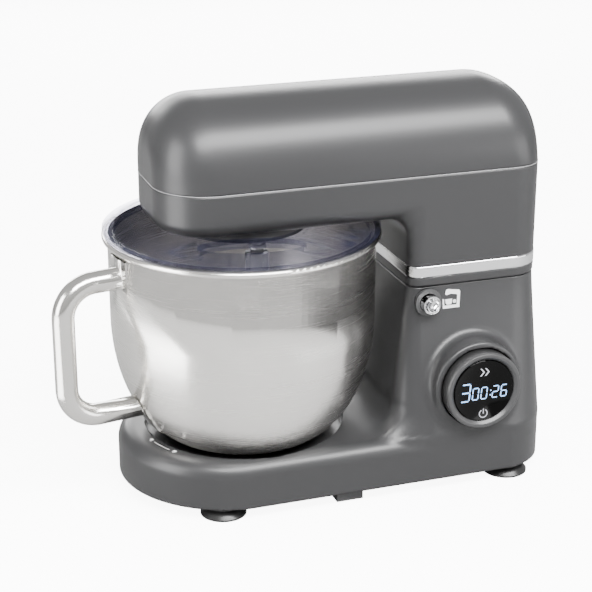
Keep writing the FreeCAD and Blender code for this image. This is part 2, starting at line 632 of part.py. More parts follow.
sleeve = about_button(s.button_radius + 2.4, flange_y,
                      8.6).fuse(about_button(s.button_radius + 4.0, flange_y, 2.0))
finish("button_sleeve", shaped("sleeve", sleeve.cut(about_button(s.button_radius + 0.4, flange_y - 8, 30.0))))
slide_z = (s.button_z - 6, s.button_z + 3)
slide_bar = box("slide_bar", (s.button_x + 6.5, s.button_x + 10), (rod_end, rod_end + 29.3), slide_z)
slide_foot = box("slide_foot", (s.button_x - 5, s.button_x + 10), (rod_end, rod_end + 3), slide_z)
tooth_high = s.button_z - 1.5
hook_y = (rod_end + 22.3, rod_end + 28.3)
hook = box("slide_hook", (s.button_x - 8, s.button_x + 10), hook_y, (tooth_high + 0.6, tooth_high + 4.2))
finish("latch_slide", fuse("slide", slide_bar, slide_foot, hook))
seat_y = (rod_end - 3.5, rod_end - 2)
arm_y = (seat_y[0] - 6.9, seat_y[1])
spring_x = (s.button_x - 7, s.button_x + 14)
spring_z = (s.button_z - 12.5, s.button_z + 7)
spring_plate = box("spring_plate", spring_x, seat_y, spring_z)
spring_side = box("spring_side", (s.button_x + 12, s.button_x + 14), arm_y, spring_z)
spring_floor = box("spring_floor", spring_x, arm_y, (s.button_z - 12.5, s.button_z - 10.8))
spring_hole = rod("spring_hole", s.push_rod + 2 * s.running_fit, s.button_x, (arm_y[0], seat_y[1] + 5),
                  s.button_z, "Y")
finish("latch_bracket", cut("spring_seat", fuse("spring_blank", spring_plate, spring_side, spring_floor),
                            spring_hole))
coil = Part.makeHelix(s.spring_pitch.value, s.spring_length.value, s.spring_radius.value)
coil_section = Part.Wire([Part.makeCircle(s.spring_wire.value, V(s.spring_radius.value, 0, 0), Y_AXIS)])
spring = Part.Wire(coil.Edges).makePipeShell([coil_section], True, True)
spring_back = seat_y[0].value - s.spring_length.value - 2 * s.spring_wire.value + 0.1
spring = spun(spring, -90, X_AXIS, V(0, spring_back, 0))
finish("button_spring", shaped("spring", spring), s.button_x, 0.0, s.button_z)
striker_x = (s.button_x - 8, s.button_x + 5)
leg_y = (hook_y[0] - 12, hook_y[0] - 6.5)
leg = box("striker_leg", striker_x, leg_y, (tooth_high - 4, split_high))
tooth = box("striker_tooth", striker_x, (leg_y[1], hook_y[0] - 0.6), (tooth_high - 4, tooth_high))
finish("latch_striker", fuse("striker", leg, tooth))

# Speed knob: a turning ring round a fixed display, over its encoder.
knob_turn = FreeCAD.Rotation(X_AXIS, 90)
boss_depth = s.knob_face - s.boss_face
collar = turned("knob_collar", [(s.lens_radius + 0.5, 0.8), (s.knob_radius, 0.8),
                                (s.knob_radius, boss_depth - 2.0),
                                (s.knob_radius - 2.0, boss_depth), (s.lens_radius + 2.4, boss_depth),
                                (s.lens_radius + 0.5, boss_depth - 1.4)], {3: (2.0, 1)})
finish("knob_ring", collar, s.knob_x, -s.boss_face, s.knob_z, knob_turn)
stem = turned("display_holder", [(0.0, -12.0), (s.lens_radius - 6.2, -12.0), (s.lens_radius - 6.2, 0.4),
                                 (s.lens_radius, 0.4), (s.lens_radius, boss_depth - 4.5), (0.0,
                                                                                           boss_depth - 4.5)])
finish("display_holder", stem, s.knob_x, -s.boss_face, s.knob_z, knob_turn)
board = turned("display_board", [(0.0, boss_depth - 4.5), (s.lens_radius - 1, boss_depth - 4.5),
                                 (s.lens_radius - 1, boss_depth - 3.3), (0.0, boss_depth - 3.3)])
finish("display_board", board, s.knob_x, -s.boss_face, s.knob_z, knob_turn)
lens = turned("display_lens", [(0.0, boss_depth - 3.3), (s.lens_radius, boss_depth - 3.3),
                               (s.lens_radius, boss_depth - 1.6), (s.lens_radius - 0.5, boss_depth - 1.1),
                               (0.0, boss_depth - 1.1)])
finish("display_lens", lens, s.knob_x, -s.boss_face, s.knob_z, knob_turn)
finish("encoder", ring("encoder_ring", s.lens_radius - 1, s.lens_radius - 6.2, -12.0, -7.6), s.knob_x,
       -s.boss_face, s.knob_z, knob_turn)

power = box("power_card", (150.0, 230.0), (20.0, 21.6), (60.0, 130.0))
chips = [box("power_part_%d" % row, (158.0 + 24 * row, 174.0 + 24 * row), (5.0, 20.0), (70.0, 110.0))
         for row in range(3)]
card_foot = box("card_foot", (150.0, 230.0), (19.0, 26.0), (bottom_top, 60.0))
finish("power_board", fuse("power", power, *chips, card_foot))
gland_neck, gland_flange = s.gland_radius - 0.1, s.gland_radius + 2
gland = turned("gland", [(3.6, 0.0), (gland_flange, 0.0), (gland_flange, 2.0), (gland_neck, 2.0),
                         (gland_neck, 5.0),
                         (3.6, 5.0)])
finish("cord_gland", gland, s.base_rear_x - s.shell - 2.2, 0.0, s.gland_z, TURN["X"])

# Levels of the drive inside the head, stacked upwards from the casing's floor.
chassis_low = s.head_floor + s.ring_depth + 6
chassis_high = chassis_low + s.chassis_sheet
gear_low = chassis_high + 4
gear_high = gear_low + s.gear_depth
second_low = gear_high + 3.5
second_high = second_low + s.second_depth
bridge_low = chassis_high + s.bridge_gap
bridge_high = bridge_low + s.bridge_sheet
belt_low = bridge_high + 4.5
belt_high = belt_low + s.belt_width
motor_low = split_high + 22
motor_high = motor_low + s.motor_length

# ------------------------------------------------------------------------------ head: shells
casing = casing_block(0.0, casing_low.value, s.seam_height.value)
casing = casing.cut(casing_block(wall, casing_low.value - 1, s.seam_height.value + 1))
hub_hole = s.hub_radius.value - 3
casing = casing.cut(Part.makeCylinder(hub_hole, 20, V(0, 0, s.head_floor.value - 10)))
BOSSES = [(-58, 34), (-58, -34), (112, 48), (112, -48)]
for bx, by in BOSSES:
    boss_low = s.head_floor.value + wall - 0.5
    casing = casing.fuse(Part.makeCylinder(5.0, chassis_low.value - boss_low, V(bx, by, boss_low)))
finish("head_lower_casing", shaped("casing", casing))

cover = cover_block(0.0).cut(cover_block(wall))
finish("head_upper_cover", shaped("upper_cover", cover))


def neck_tube(low, high, proud, thickness):
    outer = rounded_wire(s.neck_front_x.value - proud, s.rear_x.value + proud, s.head_half.value + proud,
                         s.neck_corner.value + proud, s.rear_corner.value + proud, low)
    inner = rounded_wire(s.neck_front_x.value + thickness, s.rear_x.value - thickness,
                         s.head_half.value - thickness, s.neck_corner.value - thickness,
                         s.rear_corner.value - thickness, low)
    return prism(outer, high - low), prism(inner, high - low)


outer, inner = neck_tube(chrome_low.value, casing_low.value, s.chrome_proud.value, 2.2)
finish("chrome_band", shaped("band", outer.cut(inner).cut(hinge_void)))
outer, inner = neck_tube(split_high.value, chrome_low.value, 0.0, 3.0)
inner = inner.cut(Part.makeBox(500, 300, 2.5, V(0, -150, split_high.value)))
tray = outer.cut(inner).cut(hinge_void)
tray = tray.cut(Part.makeCylinder(WIRE_WAY_RADIUS, 30, V(s.motor_x.value, WIRE_WAY_Y, deck_low.value - 10)))
slot_half = s.hinge_middle.value + s.clearance.value
leaf_slot = Part.makeBox(s.hinge_leaf.value + 2, 2 * slot_half, 30,
                         V(leaf_back - 1.4, -slot_half, deck_low.value - 7))
finish("neck_ring", shaped("tray", tray.cut(leaf_slot)))

# ------------------------------------------------------------------------------ head: drive
ring_low, ring_high = s.head_floor, s.head_floor + s.ring_depth
skirt = turned("skirt", [(hub_hole - 1.6, s.head_floor - s.hub_drop),
                         (s.hub_radius, s.head_floor - s.hub_drop),
                         (s.hub_radius, s.head_floor), (hub_hole - 1.6, s.head_floor)])
finish("hub_skirt", skirt)
RING_TEETH, PLANET_TEETH, PLANET_MODULE = 48, 18, 2.0
ring_depth = s.ring_depth.value
fixed = Part.makeCylinder(hub_hole, ring_depth, V(0, 0, ring_low.value))
ring_space = gear_wire(RING_TEETH, PLANET_MODULE, s.tool_angle.value, ring_low.value, internal=True)
fixed = fixed.cut(prism(ring_space, ring_depth))
finish("ring_gear", shaped("fixed_gear", fixed))
tool_spot = (s.tool_offset.value * math.cos(math.radians(s.tool_angle.value)),
             s.tool_offset.value * math.sin(math.radians(s.tool_angle.value)))
carrier_low = s.head_floor - 6.5
upper_plate = rod("carrier_upper", s.carrier_radius - 2, 0.0, 0.0, (ring_high + 0.8, ring_high + 4))
lower_plate = rod("carrier_lower", s.carrier_radius, 0.0, 0.0, (carrier_low, carrier_low + 3.5))
posts = []
for turn in (120, 180, 240):
    angle = math.radians(s.tool_angle.value + turn)
    posts.append(rod("carrier_post_%d" % turn, 4.5, s.tool_offset * math.cos(angle),
                     s.tool_offset * math.sin(angle),
                     (carrier_low + 3, ring_high + 1)))
main_shaft = rod("carrier_shaft", s.main_shaft, 0.0, 0.0, (ring_high + 1, gear_high + 2))
carrier_blank = fuse("carrier_blank", upper_plate, lower_plate, main_shaft, *posts)
finish("planet_carrier", cut("carrier", carrier_blank,
                             rod("carrier_tool_bore", s.tool_radius + s.running_fit, tool_spot[0],
                                 tool_spot[1],
                                 (carrier_low - 10, gear_low))))
planet = gear(PLANET_TEETH, PLANET_MODULE, s.tool_angle.value, ring_low + 0.6, ring_high - 0.2, s.tool_radius)
finish("planet_gear", shaped("planet", planet), tool_spot[0], tool_spot[1])
tool_low = s.rim_height - 30
tool_top = ring_high + 4.2
spindle = rod("spindle", s.tool_radius, tool_spot[0], tool_spot[1], (tool_low, tool_top))
spindle_collars = [rod("spindle_collar_%d" % row, s.tool_radius + 2.2 - 0.6 * row, tool_spot[0], tool_spot[1],
                       (s.rim_height - 2.0 - 7.0 * row, s.rim_height + 1.5 - 7.0 * row)) for row in range(2)]
pin_z = s.rim_height - 17
spindle_blank = fuse("spindle_blank", spindle, *spindle_collars)
finish("tool_shaft", cut("tool_spindle", spindle_blank,
                         rod("spindle_pin_bore", 1.5, (tool_spot[0] - 20, tool_spot[0] + 20), tool_spot[1],
                             pin_z, "X")))
finish("drive_pin", rod("cross_pin", 1.5, (tool_spot[0] - 9.5, tool_spot[0] + 9.5), tool_spot[1], pin_z, "X"))

base_plate = box("chassis_plate", (-62.0, 144.0), (-48.0, 48.0), (chassis_low, chassis_high))
bush_hole = rod("chassis_bush_hole", 12.0, 0.0, 0.0, (chassis_low - 1, chassis_high + 1))
shaft_bore = s.shaft_radius + s.running_fit
idler_bore = rod("chassis_idler_bore", shaft_bore, s.idler_x, 0.0, (chassis_low - 1, chassis_high + 1))
pulley_bore = rod("chassis_pulley_bore", shaft_bore, s.pulley_x, 0.0, (chassis_low - 1, chassis_high + 1))
ears = []
for row, (bx, by) in enumerate(BOSSES):
    reach = sorted((by, math.copysign(38, by)))
    ears.append(box("chassis_ear_%d" % row, (bx - 7.0, bx + 7.0), (reach[0] - 6, reach[1] + 6),
                    (chassis_low, chassis_high)))
finish("gearbox_chassis", cut("chassis", fuse("chassis_blank", base_plate, *ears), bush_hole, idler_bore,
                              pulley_bore))
finish("carrier_bush", ring("carrier_bushing", 12.0, s.running_fit + s.main_shaft, chassis_low - 0.8,
                            chassis_high + 2.5))
bridge_plate = box("bridge_plate", (44.0, 143.0), (-47.5, 47.5), (bridge_low, bridge_high))
bridge_posts = [rod("bridge_post_%d" % row, 4.0, px, py, (chassis_high, bridge_low))
                for row, (px, py) in enumerate([(138.0, 34.0), (138.0, -34.0), (50.0, 43.0), (50.0, -43.0)])]
bridge_bores = [rod("bridge_bore_%d" % row, shaft_bore, px, 0.0, (bridge_low - 1, bridge_high + 2))
                for row, px in enumerate([s.idler_x, s.pulley_x])]
finish("gearbox_bridge", cut("bridge", fuse("bridge_blank", bridge_plate, *bridge_posts), *bridge_bores))

# Two stages of spur gears: each pinion has a space where the wheel beside it has a tooth.
WHEEL_TEETH, SECOND_TEETH, PINION_TEETH = 64, 72, 16
pinion_phase = 180 + 180 / PINION_TEETH


def stage_module(distance, teeth):
    """The module at which a wheel and its pinion fill the distance between their axes."""
    return 2 * distance.value / (teeth + PINION_TEETH)


first_module = stage_module(s.idler_x, WHEEL_TEETH)
second_module = stage_module(s.pulley_x - s.idler_x, SECOND_TEETH)
first_stage, second_stage = (gear_low, gear_high), (second_low, second_high)
finish("carrier_gear", shaped("big_gear", gear(WHEEL_TEETH, first_module, 0.0, *first_stage, s.main_shaft)))
idler_pinion = gear(PINION_TEETH, first_module, pinion_phase, *first_stage, s.shaft_radius)
finish("intermediate_pinion", shaped("idler_pinion", idler_pinion), s.idler_x)
idler_gear = gear(SECOND_TEETH, second_module, 0.0, *second_stage, s.shaft_radius)
finish("intermediate_gear", shaped("idler_gear", idler_gear), s.idler_x)
finish("intermediate_shaft", rod("idler_shaft", s.shaft_radius, s.idler_x, 0.0,
                                 (chassis_low + 0.2, bridge_high)))
second_pinion = gear(PINION_TEETH, second_module, pinion_phase, *second_stage, s.shaft_radius)
finish("pulley_pinion", shaped("second_pinion", second_pinion), s.pulley_x)
finish("pulley_shaft", rod("second_shaft", s.shaft_radius, s.pulley_x, 0.0,
                           (chassis_low + 0.2, belt_high + 2)))


def pulley(name, radius, bore):
    return turned(name, [(bore, belt_low - 1.6), (radius + 1.2, belt_low - 1.6),
                         (radius + 1.2, belt_low - 0.4),
                         (radius, belt_low - 0.4), (radius, belt_high + 0.4), (radius + 1.2, belt_high + 0.4),
                         (radius + 1.2, belt_high + 1.6), (bore, belt_high + 1.6)])


finish("large_pulley", pulley("wide_pulley", s.large_pulley, s.shaft_radius), s.pulley_x)
finish("motor_pulley", pulley("narrow_pulley", s.small_pulley, s.shaft_radius), s.motor_x)


def belt_face(extra):
    """The area inside a belt that wraps both pulleys, grown by extra."""
    big, small = s.large_pulley.value + extra, s.small_pulley.value + extra
    far = s.motor_x.value - s.pulley_x.value
    lean = math.acos((big - small) / far)
    x0, x1, level = s.pulley_x.value, s.motor_x.value, belt_low.value
    top_big = V(x0 + big * math.cos(lean), big * math.sin(lean), level)
    top_small = V(x1 + small * math.cos(lean), small * math.sin(lean), level)
    low_big, low_small = V(top_big.x, -top_big.y, level), V(top_small.x, -top_small.y, level)
    edges = [Part.Arc(top_big, V(x0 - big, 0, level), low_big), Part.LineSegment(low_big, low_small),
             Part.Arc(low_small, V(x1 + small, 0, level), top_small), Part.LineSegment(top_small, top_big)]
    return prism(Part.Wire([edge.toShape() for edge in edges]), s.belt_width.value)


belt = belt_face(s.running_fit.value + s.belt_thickness.value).cut(belt_face(s.running_fit.value))
finish("drive_belt", shaped("belt", belt))

can = ring("stator_ring", s.motor_radius, 24.0, motor_low, motor_high)
finish("motor_stator", can, s.motor_x)
end_blank = rod("end_blank", s.motor_radius, s.motor_x, 0.0, (motor_high, motor_high + 4))
end_arms = [box("end_arm_%d" % side, (s.motor_x + 20 * side - 5, s.motor_x + 20 * side + 5),
                (s.shell - s.head_half, s.head_half - s.shell), (motor_high,
                                                                 motor_high + 4)) for side in (-1, 1)]
finish("motor_bracket", cut("bracket_plate", fuse("end_fused", end_blank, *end_arms),
                            rod("end_bore", shaft_bore, s.motor_x, 0.0, (motor_high - 2, motor_high + 9))))
foot_ring = ring("motor_foot_ring", s.motor_radius, 32.0, split_high + 2.5, motor_low)
finish("motor_mount", foot_ring, s.motor_x)
armature = rod("armature", 23.0, s.motor_x, 0.0, (motor_low + 6, motor_high - 12))
commutator = rod("commutator", 12.0, s.motor_x, 0.0, (motor_high - 12, motor_high - 2))
motor_shaft = rod("motor_shaft", s.shaft_radius, s.motor_x, 0.0, (motor_low - 14, belt_high + 3))
finish("motor_rotor", fuse("rotor", armature, commutator, motor_shaft))
fan_hub = ring("fan_hub", 9.0, s.shaft_radius, motor_low - 13, motor_low - 4, s.motor_x)
fan_disc = ring("fan_disc", 28.0, 8.5, motor_low - 5, motor_low - 3.6, s.motor_x)
blades = []
for index in range(9):
    blade = Part.makeBox(18.5, 1.2, 7.6, V(9.2, -0.6, motor_low.value - 12.4))
    blades.append(spun(blade, index * 40, Z_AXIS, V(s.motor_x.value, 0, 0)))
fan_blades = shaped("fan_blades", blades[0].multiFuse(blades[1:]))
finish("cooling_fan", fuse("fan", fan_hub, fan_disc, fan_blades))
brushes = [box("brush_%d" % side, (s.motor_x - 4, s.motor_x + 4),
               (12.3, 23.4) if side > 0 else (-23.4, -12.3),
               (motor_high - 11, motor_high - 3)) for side in (-1, 1)]
finish("brush_holders", compound("brushes", *brushes))

caps = [rod("cap_screw_%d" % row, 2.6, bx, by, (chassis_high, chassis_high + 2.4))
        for row, (bx, by) in enumerate(BOSSES)]
finish("chassis_screws", compound("chassis_screw_set", *caps))

# ------------------------------------------------------------------------------ bowl and lid
rim_z = s.rim_height
curve_top = rim_z - s.bowl_straight
bowl_low = rim_z - s.bowl_depth - s.bowl_sheet


def bowl_wire(extra, top):
    """Half the bowl's outline: floor disc, quarter ellipse, straight wall; extra grows it outward."""
    wall_radius = s.bowl_wall_radius.value + extra
    start = V(s.bowl_floor_radius.value, 0, bowl_low.value - extra)
    wide = wall_radius - s.bowl_floor_radius.value
    deep = curve_top.value - start.z
    arc = Part.Arc(V(0, 0, -1), V(math.sqrt(0.5), 0, -math.sqrt(0.5)), V(1, 0, 0)).toBSpline()
    for index, pole in enumerate(arc.getPoles(), start=1):
        arc.setPole(index, V(start.x + pole.x * wide, 0, curve_top.value + pole.z * deep))
    points = [V(wall_radius, 0, curve_top.value), V(wall_radius, 0, top), V(0, 0, top), V(0, 0, start.z),
              start]
    edges = [arc.toShape()] + [Part.LineSegment(a, b).toShape() for a, b in zip(points, points[1:])]
    return Part.Face(Part.Wire(edges)).revolve(V(), Z_AXIS, 360)


skin = bowl_wire(0.0, rim_z.value).cut(bowl_wire(-s.bowl_sheet.value, rim_z.value + 1))
roll = s.rim_roll.value
rim_tube = Part.makeTorus(s.rim_radius.value - roll, roll, V(0, 0, rim_z.value - roll))
lip = Part.makeCylinder(s.rim_radius.value - roll, 1.0, V(0, 0, rim_z.value - 1.0))
lip = lip.cut(Part.makeCylinder(s.bowl_wall_radius.value - s.bowl_sheet.value, 1.0,
                                V(0, 0, rim_z.value - 1.0)))
finish("bowl_shell", shaped("bowl_skin", skin.fuse(lip).fuse(rim_tube.cut(bowl_wire(-0.2, rim_z.value + 1)))))
foot_top = bowl_low.value
foot_low = well_floor.value + 0.6
bowl_foot = Part.makeCylinder(foot_radius, foot_top - foot_low, V(0, 0, foot_low))
bowl_foot = bowl_foot.cut(Part.makeCylinder(foot_radius - 2.5, foot_top - foot_low, V(0, 0, foot_low)))
for lug in sectors(lug_radius, foot_radius - 0.5, well_floor + 1.6, well_floor + s.seat_height - 2.7):
    bowl_foot = bowl_foot.fuse(lug)
finish("bowl_foot_ring", shaped("bowl_foot", bowl_foot.removeSplitter()))

grip = s.grip_reach.value
bend = s.grip_bend.value
top_z, low_z = rim_z.value - s.grip_top.value, rim_z.value - s.grip_bottom.value
knee = bend * (1 - math.sqrt(0.5))
path = [V(s.bowl_wall_radius.value - 4, 0, top_z), V(grip - bend, 0, top_z), V(grip, 0, top_z - bend),
        V(grip, 0, low_z + bend), V(grip - bend, 0, low_z), V(s.bowl_wall_radius.value - 22, 0, low_z)]
corner_a = Part.Arc(path[1], V(grip - knee, 0, top_z - knee), path[2])
corner_b = Part.Arc(path[3], V(grip - knee, 0, low_z + knee), path[4])
spine = Part.Wire([Part.LineSegment(path[0], path[1]).toShape(), corner_a.toShape(),
                   Part.LineSegment(path[2], path[3]).toShape(), corner_b.toShape(),
                   Part.LineSegment(path[4], path[5]).toShape()])
tube = spine.makePipeShell([Part.Wire([Part.makeCircle(s.grip_radius.value, path[0], X_AXIS)])], True, True)
sheet = s.grip_plate.value
tube = spun(tube.cut(bowl_wire(sheet - 0.4, rim_z.value)), s.grip_angle.value)
band = bowl_wire(sheet, rim_z.value).cut(bowl_wire(0.02, rim_z.value))
# Low edge, high edge and half turn of the two plates that the grip's ends are welded to.
PLATES = ((top_z - 8.5, top_z + 17.5, 7.5), (low_z - 25, low_z + 3, 8.5))
for plate_low, plate_high, half_turn in PLATES:
    wedge = Part.makeCylinder(200, plate_high - plate_low, V(0, 0, plate_low), Z_AXIS, 2 * half_turn)
    tube = tube.fuse(band.common(spun(wedge, s.grip_angle.value - half_turn)))
finish("bowl_handle", shaped("handle", tube))

lid_low = rim_z + s.lid_gap
lid_high = lid_low + s.lid_sheet
hub_fit = s.hub_radius + 0.05
collar_low, lid_edge, bead = s.head_floor - s.hub_drop - 2, s.rim_radius - 0.6, s.lid_bead_radius
lid_disc = turned("lid_disc", [(hub_fit, collar_low), (hub_fit + 3, collar_low), (hub_fit + 3, lid_low),
                               (bead - 2, lid_low), (bead - 2, rim_z - 4), (bead, rim_z - 4), (bead, lid_low),
                               (lid_edge, lid_low), (lid_edge, lid_high), (bead - 1, lid_high),
                               (bead - 2, lid_high + 1.4), (hub_fit + 5, lid_high + 1.4),
                               (hub_fit + 3, lid_high + 2.6), (hub_fit, lid_high + 2.6)])
chute_x = s.chute_reach.value * math.cos(math.radians(s.chute_angle.value))
chute_y = s.chute_reach.value * math.sin(math.radians(s.chute_angle.value))
chute_tilt = s.chute_angle.value + 90
chute_body = oval("chute_body", s.chute_half, s.chute_depth, lid_low, lid_high + s.chute_rise,
                  chute_x, chute_y, chute_tilt)
chute_hole = oval("chute_hole", s.chute_half - s.chute_wall, s.chute_depth - s.chute_wall, rim_z - 10,
                  rim_z + 40,
                  chute_x, chute_y, chute_tilt)
keep_clear = rod("lid_clear", hub_fit, 0.0, 0.0, (rim_z - 10, rim_z + 40))
finish("lid", cut("lid_cut", fuse("lid_blank", lid_disc, chute_body), chute_hole, keep_clear))

# ------------------------------------------------------------------------------ flat beater
half, thick = s.beater_half, s.beater_thickness
low, top = s.beater_bottom, s.beater_top
outer_frame = plate("beater_frame", [(-half * 0.52, low), (half * 0.52, low), (half * 0.93, low + 34),
                                     (half, low + 62),
                               (half * 0.62, top - 16), (9.0, top), (-9.0, top), (-half * 0.62, top - 16),
                               (-half, low + 62), (-half * 0.93, low + 34)],
              {1: (60.0, 1), 9: (60.0, 1)}, thick, "XZ_Plane")
bar = s.beater_bar
spoke = bar / 2 - 0.5
window = plate("beater_window", [(-half * 0.44, low + bar), (-spoke, low + bar), (-spoke, top - 22),
                                 (-half * 0.52, top - 30), (-half + bar, low + 60), (-half * 0.86 + bar,
                                                                                     low + 34)],
               {}, thick + 2, "XZ_Plane")
window_far = plate("beater_window_far", [(half * 0.44, low + bar), (half * 0.86 - bar, low + 34),
                                         (half - bar, low + 60), (half * 0.52, top - 30), (spoke, top - 22),
                                         (spoke, low + bar)], {}, thick + 2, "XZ_Plane")
hub_top = pin_z + 4
beater_hub = rod("beater_hub", 10.0, 0.0, 0.0, (top - 18, hub_top))
slot = box("beater_slot", (-20.0, 20.0), (-1.9, 1.9), (pin_z - 1.9, hub_top + 5))
bore = rod("beater_bore", s.tool_radius + s.running_fit, 0.0, 0.0, (tool_low - 1, hub_top + 5))
finish("flat_beater", cut("beater", fuse("beater_blank", cut("beater_open", outer_frame, window, window_far),
                                         beater_hub),
                          slot, bore), tool_spot[0], tool_spot[1])

# ------------------------------------------------------------------------------ check and write
doc.recompute()
failed = []
for item in doc.Objects:
    if {"Invalid", "Error"} & set(item.State):
        failed.append("%s %s" % (item.Name, item.State))
for piece in FINISHED:
    shape = piece.Shape
    if shape.isNull() or not shape.isValid() or shape.Volume < 1e-3:
        failed.append("%s has no good shape" % piece.Label)
if failed:
    raise RuntimeError("; ".join(failed))
os.makedirs("parts", exist_ok=True)
for piece in FINISHED:
    piece.Shape.exportStep(os.path.join("parts", piece.Label + ".step"))
print(len(FINISHED), "sub-parts written")
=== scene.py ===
import logging
import math
from dataclasses import dataclass, field
from enum import Enum
from typing import Callable, Iterable, Optional, Sequence, Union

import bmesh
import bpy
import numpy as np
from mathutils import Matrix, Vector


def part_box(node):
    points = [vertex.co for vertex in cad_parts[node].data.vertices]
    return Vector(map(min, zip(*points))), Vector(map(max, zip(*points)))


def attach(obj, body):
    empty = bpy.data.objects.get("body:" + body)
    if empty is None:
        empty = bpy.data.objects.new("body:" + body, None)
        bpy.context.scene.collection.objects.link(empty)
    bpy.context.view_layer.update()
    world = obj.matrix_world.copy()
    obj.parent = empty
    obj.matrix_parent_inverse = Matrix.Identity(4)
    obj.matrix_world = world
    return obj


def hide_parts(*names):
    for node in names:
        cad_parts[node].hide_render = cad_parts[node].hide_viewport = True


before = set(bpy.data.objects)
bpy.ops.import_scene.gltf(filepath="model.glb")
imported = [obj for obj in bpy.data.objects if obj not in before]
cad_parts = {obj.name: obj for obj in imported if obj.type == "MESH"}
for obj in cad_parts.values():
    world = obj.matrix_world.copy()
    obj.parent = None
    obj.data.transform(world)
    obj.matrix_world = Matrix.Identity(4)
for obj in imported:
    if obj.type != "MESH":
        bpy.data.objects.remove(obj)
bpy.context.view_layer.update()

logging.basicConfig(level=logging.INFO, format="%(levelname)s %(message)s")
LOG = logging.getLogger("stand_mixer")

Number = Union[int, float]
Colour = tuple[float, float, float]
Pair = tuple[float, float]
Piece = bpy.types.Object
Values = Union[float, np.ndarray]
Points = np.ndarray
Outline = list[Pair]
Field = Callable[[Points], np.ndarray]
MM = 0.001


# ----- shader building
@dataclass(frozen=True)
class Socket:
    """One value in a node tree, with arithmetic written as Python expressions."""

    shader: "Shader"
    link: bpy.types.NodeSocket

    def _math(self, operation: str, *others: Union["Socket", Number]) -> "Socket":
        """Adds one Math node on this socket and the others."""
        inputs = dict(enumerate([self, *others]))
        return self.shader.node("ShaderNodeMath", {"operation": operation}, inputs)

    def __add__(self, other: Union["Socket", Number]) -> "Socket":
        """Sum."""
        return self._math("ADD", other)

    def __sub__(self, other: Union["Socket", Number]) -> "Socket":
        """Difference."""
        return self._math("SUBTRACT", other)

    def __mul__(self, other: Union["Socket", Number]) -> "Socket":
        """Product."""
        return self._math("MULTIPLY", other)

    def power(self, exponent: Number) -> "Socket":
        """This value raised to an exponent."""
        return self._math("POWER", exponent)

    def angle_from(self, other: "Socket") -> "Socket":
        """The angle of the point (other, this) about the origin."""
        return self._math("ARCTAN2", other)

    def clamped(self) -> "Socket":
        """This value held between 0 and 1."""
        return self._math("MAXIMUM", 0.0)._math("MINIMUM", 1.0)


class Shader:
    """A material's node tree with one method that adds any node."""

    def __init__(self, name: str) -> None:
        """Starts an empty material.

        Args:
            name: The material's name.
        """
        self.material = bpy.data.materials.new(name)
        self.material.use_nodes = True
        self.tree = self.material.node_tree
        self.tree.nodes.clear()

    def node(self, kind: str, settings: Optional[dict] = None, inputs: Optional[dict] = None,
             output: Union[int, str] = 0) -> Socket:
        """Adds a node, sets it up and links its inputs.

        Args:
            kind: The node's type.
            settings: Its properties.
            inputs: Values or sockets by input name or index.
            output: Which output to return.

        Returns:
            The chosen output.
        """
        made = self.tree.nodes.new(kind)
        for key, value in (settings or {}).items():
            setattr(made, key, value)
        for key, value in (inputs or {}).items():
            if isinstance(value, Socket):
                self.tree.links.new(value.link, made.inputs[key])
            else:
                made.inputs[key].default_value = value
        return Socket(self, made.outputs[output])

    def place(self) -> Socket:
        """The point on the surface in the object's own metres."""
        return self.node("ShaderNodeTexCoord", output="Object")

    def axes(self, point: Socket) -> tuple[Socket, Socket, Socket]:
        """The three parts of a point."""
        split = self.node("ShaderNodeSeparateXYZ", inputs={0: point})
        outputs = split.link.node.outputs
        return tuple(Socket(self, outputs[index]) for index in range(3))

    def joined(self, x: Union[Socket, Number], y: Union[Socket, Number], z: Union[Socket, Number]) -> Socket:
        """A point from its three parts."""
        return self.node("ShaderNodeCombineXYZ", inputs={0: x, 1: y, 2: z})

    def noise(self, point: Socket, scale: Number, detail: Number = 2.0, roughness: Number = 0.5) -> Socket:
        """Smooth noise between about 0 and 1."""
        inputs = {"Vector": point, "Scale": scale, "Detail": detail, "Roughness": roughness}
        return self.node("ShaderNodeTexNoise", inputs=inputs)

    def blend(self, factor: Socket, first: Colour, second: Colour) -> Socket:
        """A colour between two, by a factor."""
        inputs = {0: factor, 6: (*first, 1.0), 7: (*second, 1.0)}
        return self.node("ShaderNodeMix", {"data_type": "RGBA"}, inputs, 2)

    def shades(self, factor: Socket, colour: Colour, share: Number) -> Socket:
        """A colour that a factor lightens from a share of itself."""
        return self.blend(factor, tuple(part * share for part in colour), colour)

    def bump(self, height: Socket, strength: Number, distance: Number) -> Socket:
        """A bumped normal from a height."""
        inputs = {"Height": height, "Strength": strength, "Distance": distance}
        return self.node("ShaderNodeBump", inputs=inputs)

    def surface(self, **inputs: Union[Socket, Number, Colour]) -> Socket:
        """A Principled surface; underscores in names stand for spaces."""
        named = {}
        for key, value in inputs.items():
            is_colour = isinstance(value, tuple) and len(value) == 3
            named[key.replace("_", " ")] = (*value, 1.0) if is_colour else value
        return self.node("ShaderNodeBsdfPrincipled", inputs=named)

    def close(self, surface: Socket) -> bpy.types.Material:
        """Ends the tree in its output.

        Args:
            surface: The shader to show.

        Returns:
            The finished material.
        """
        ending = self.tree.nodes.new("ShaderNodeOutputMaterial")
        self.tree.links.new(surface.link, ending.inputs["Surface"])
        return self.material


# ----- finishes
class Finish:
    """A surface finish that builds its material once."""

    name: str
    slot: str
    _made: dict[str, bpy.types.Material] = {}

    def material(self) -> bpy.types.Material:
        """The finish's material, built on first use."""
        if self.name not in Finish._made:
            Finish._made[self.name] = self.build(Shader(self.name))
        return Finish._made[self.name]

    def build(self, shader: Shader) -> bpy.types.Material:
        """Builds the node tree."""
        raise NotImplementedError


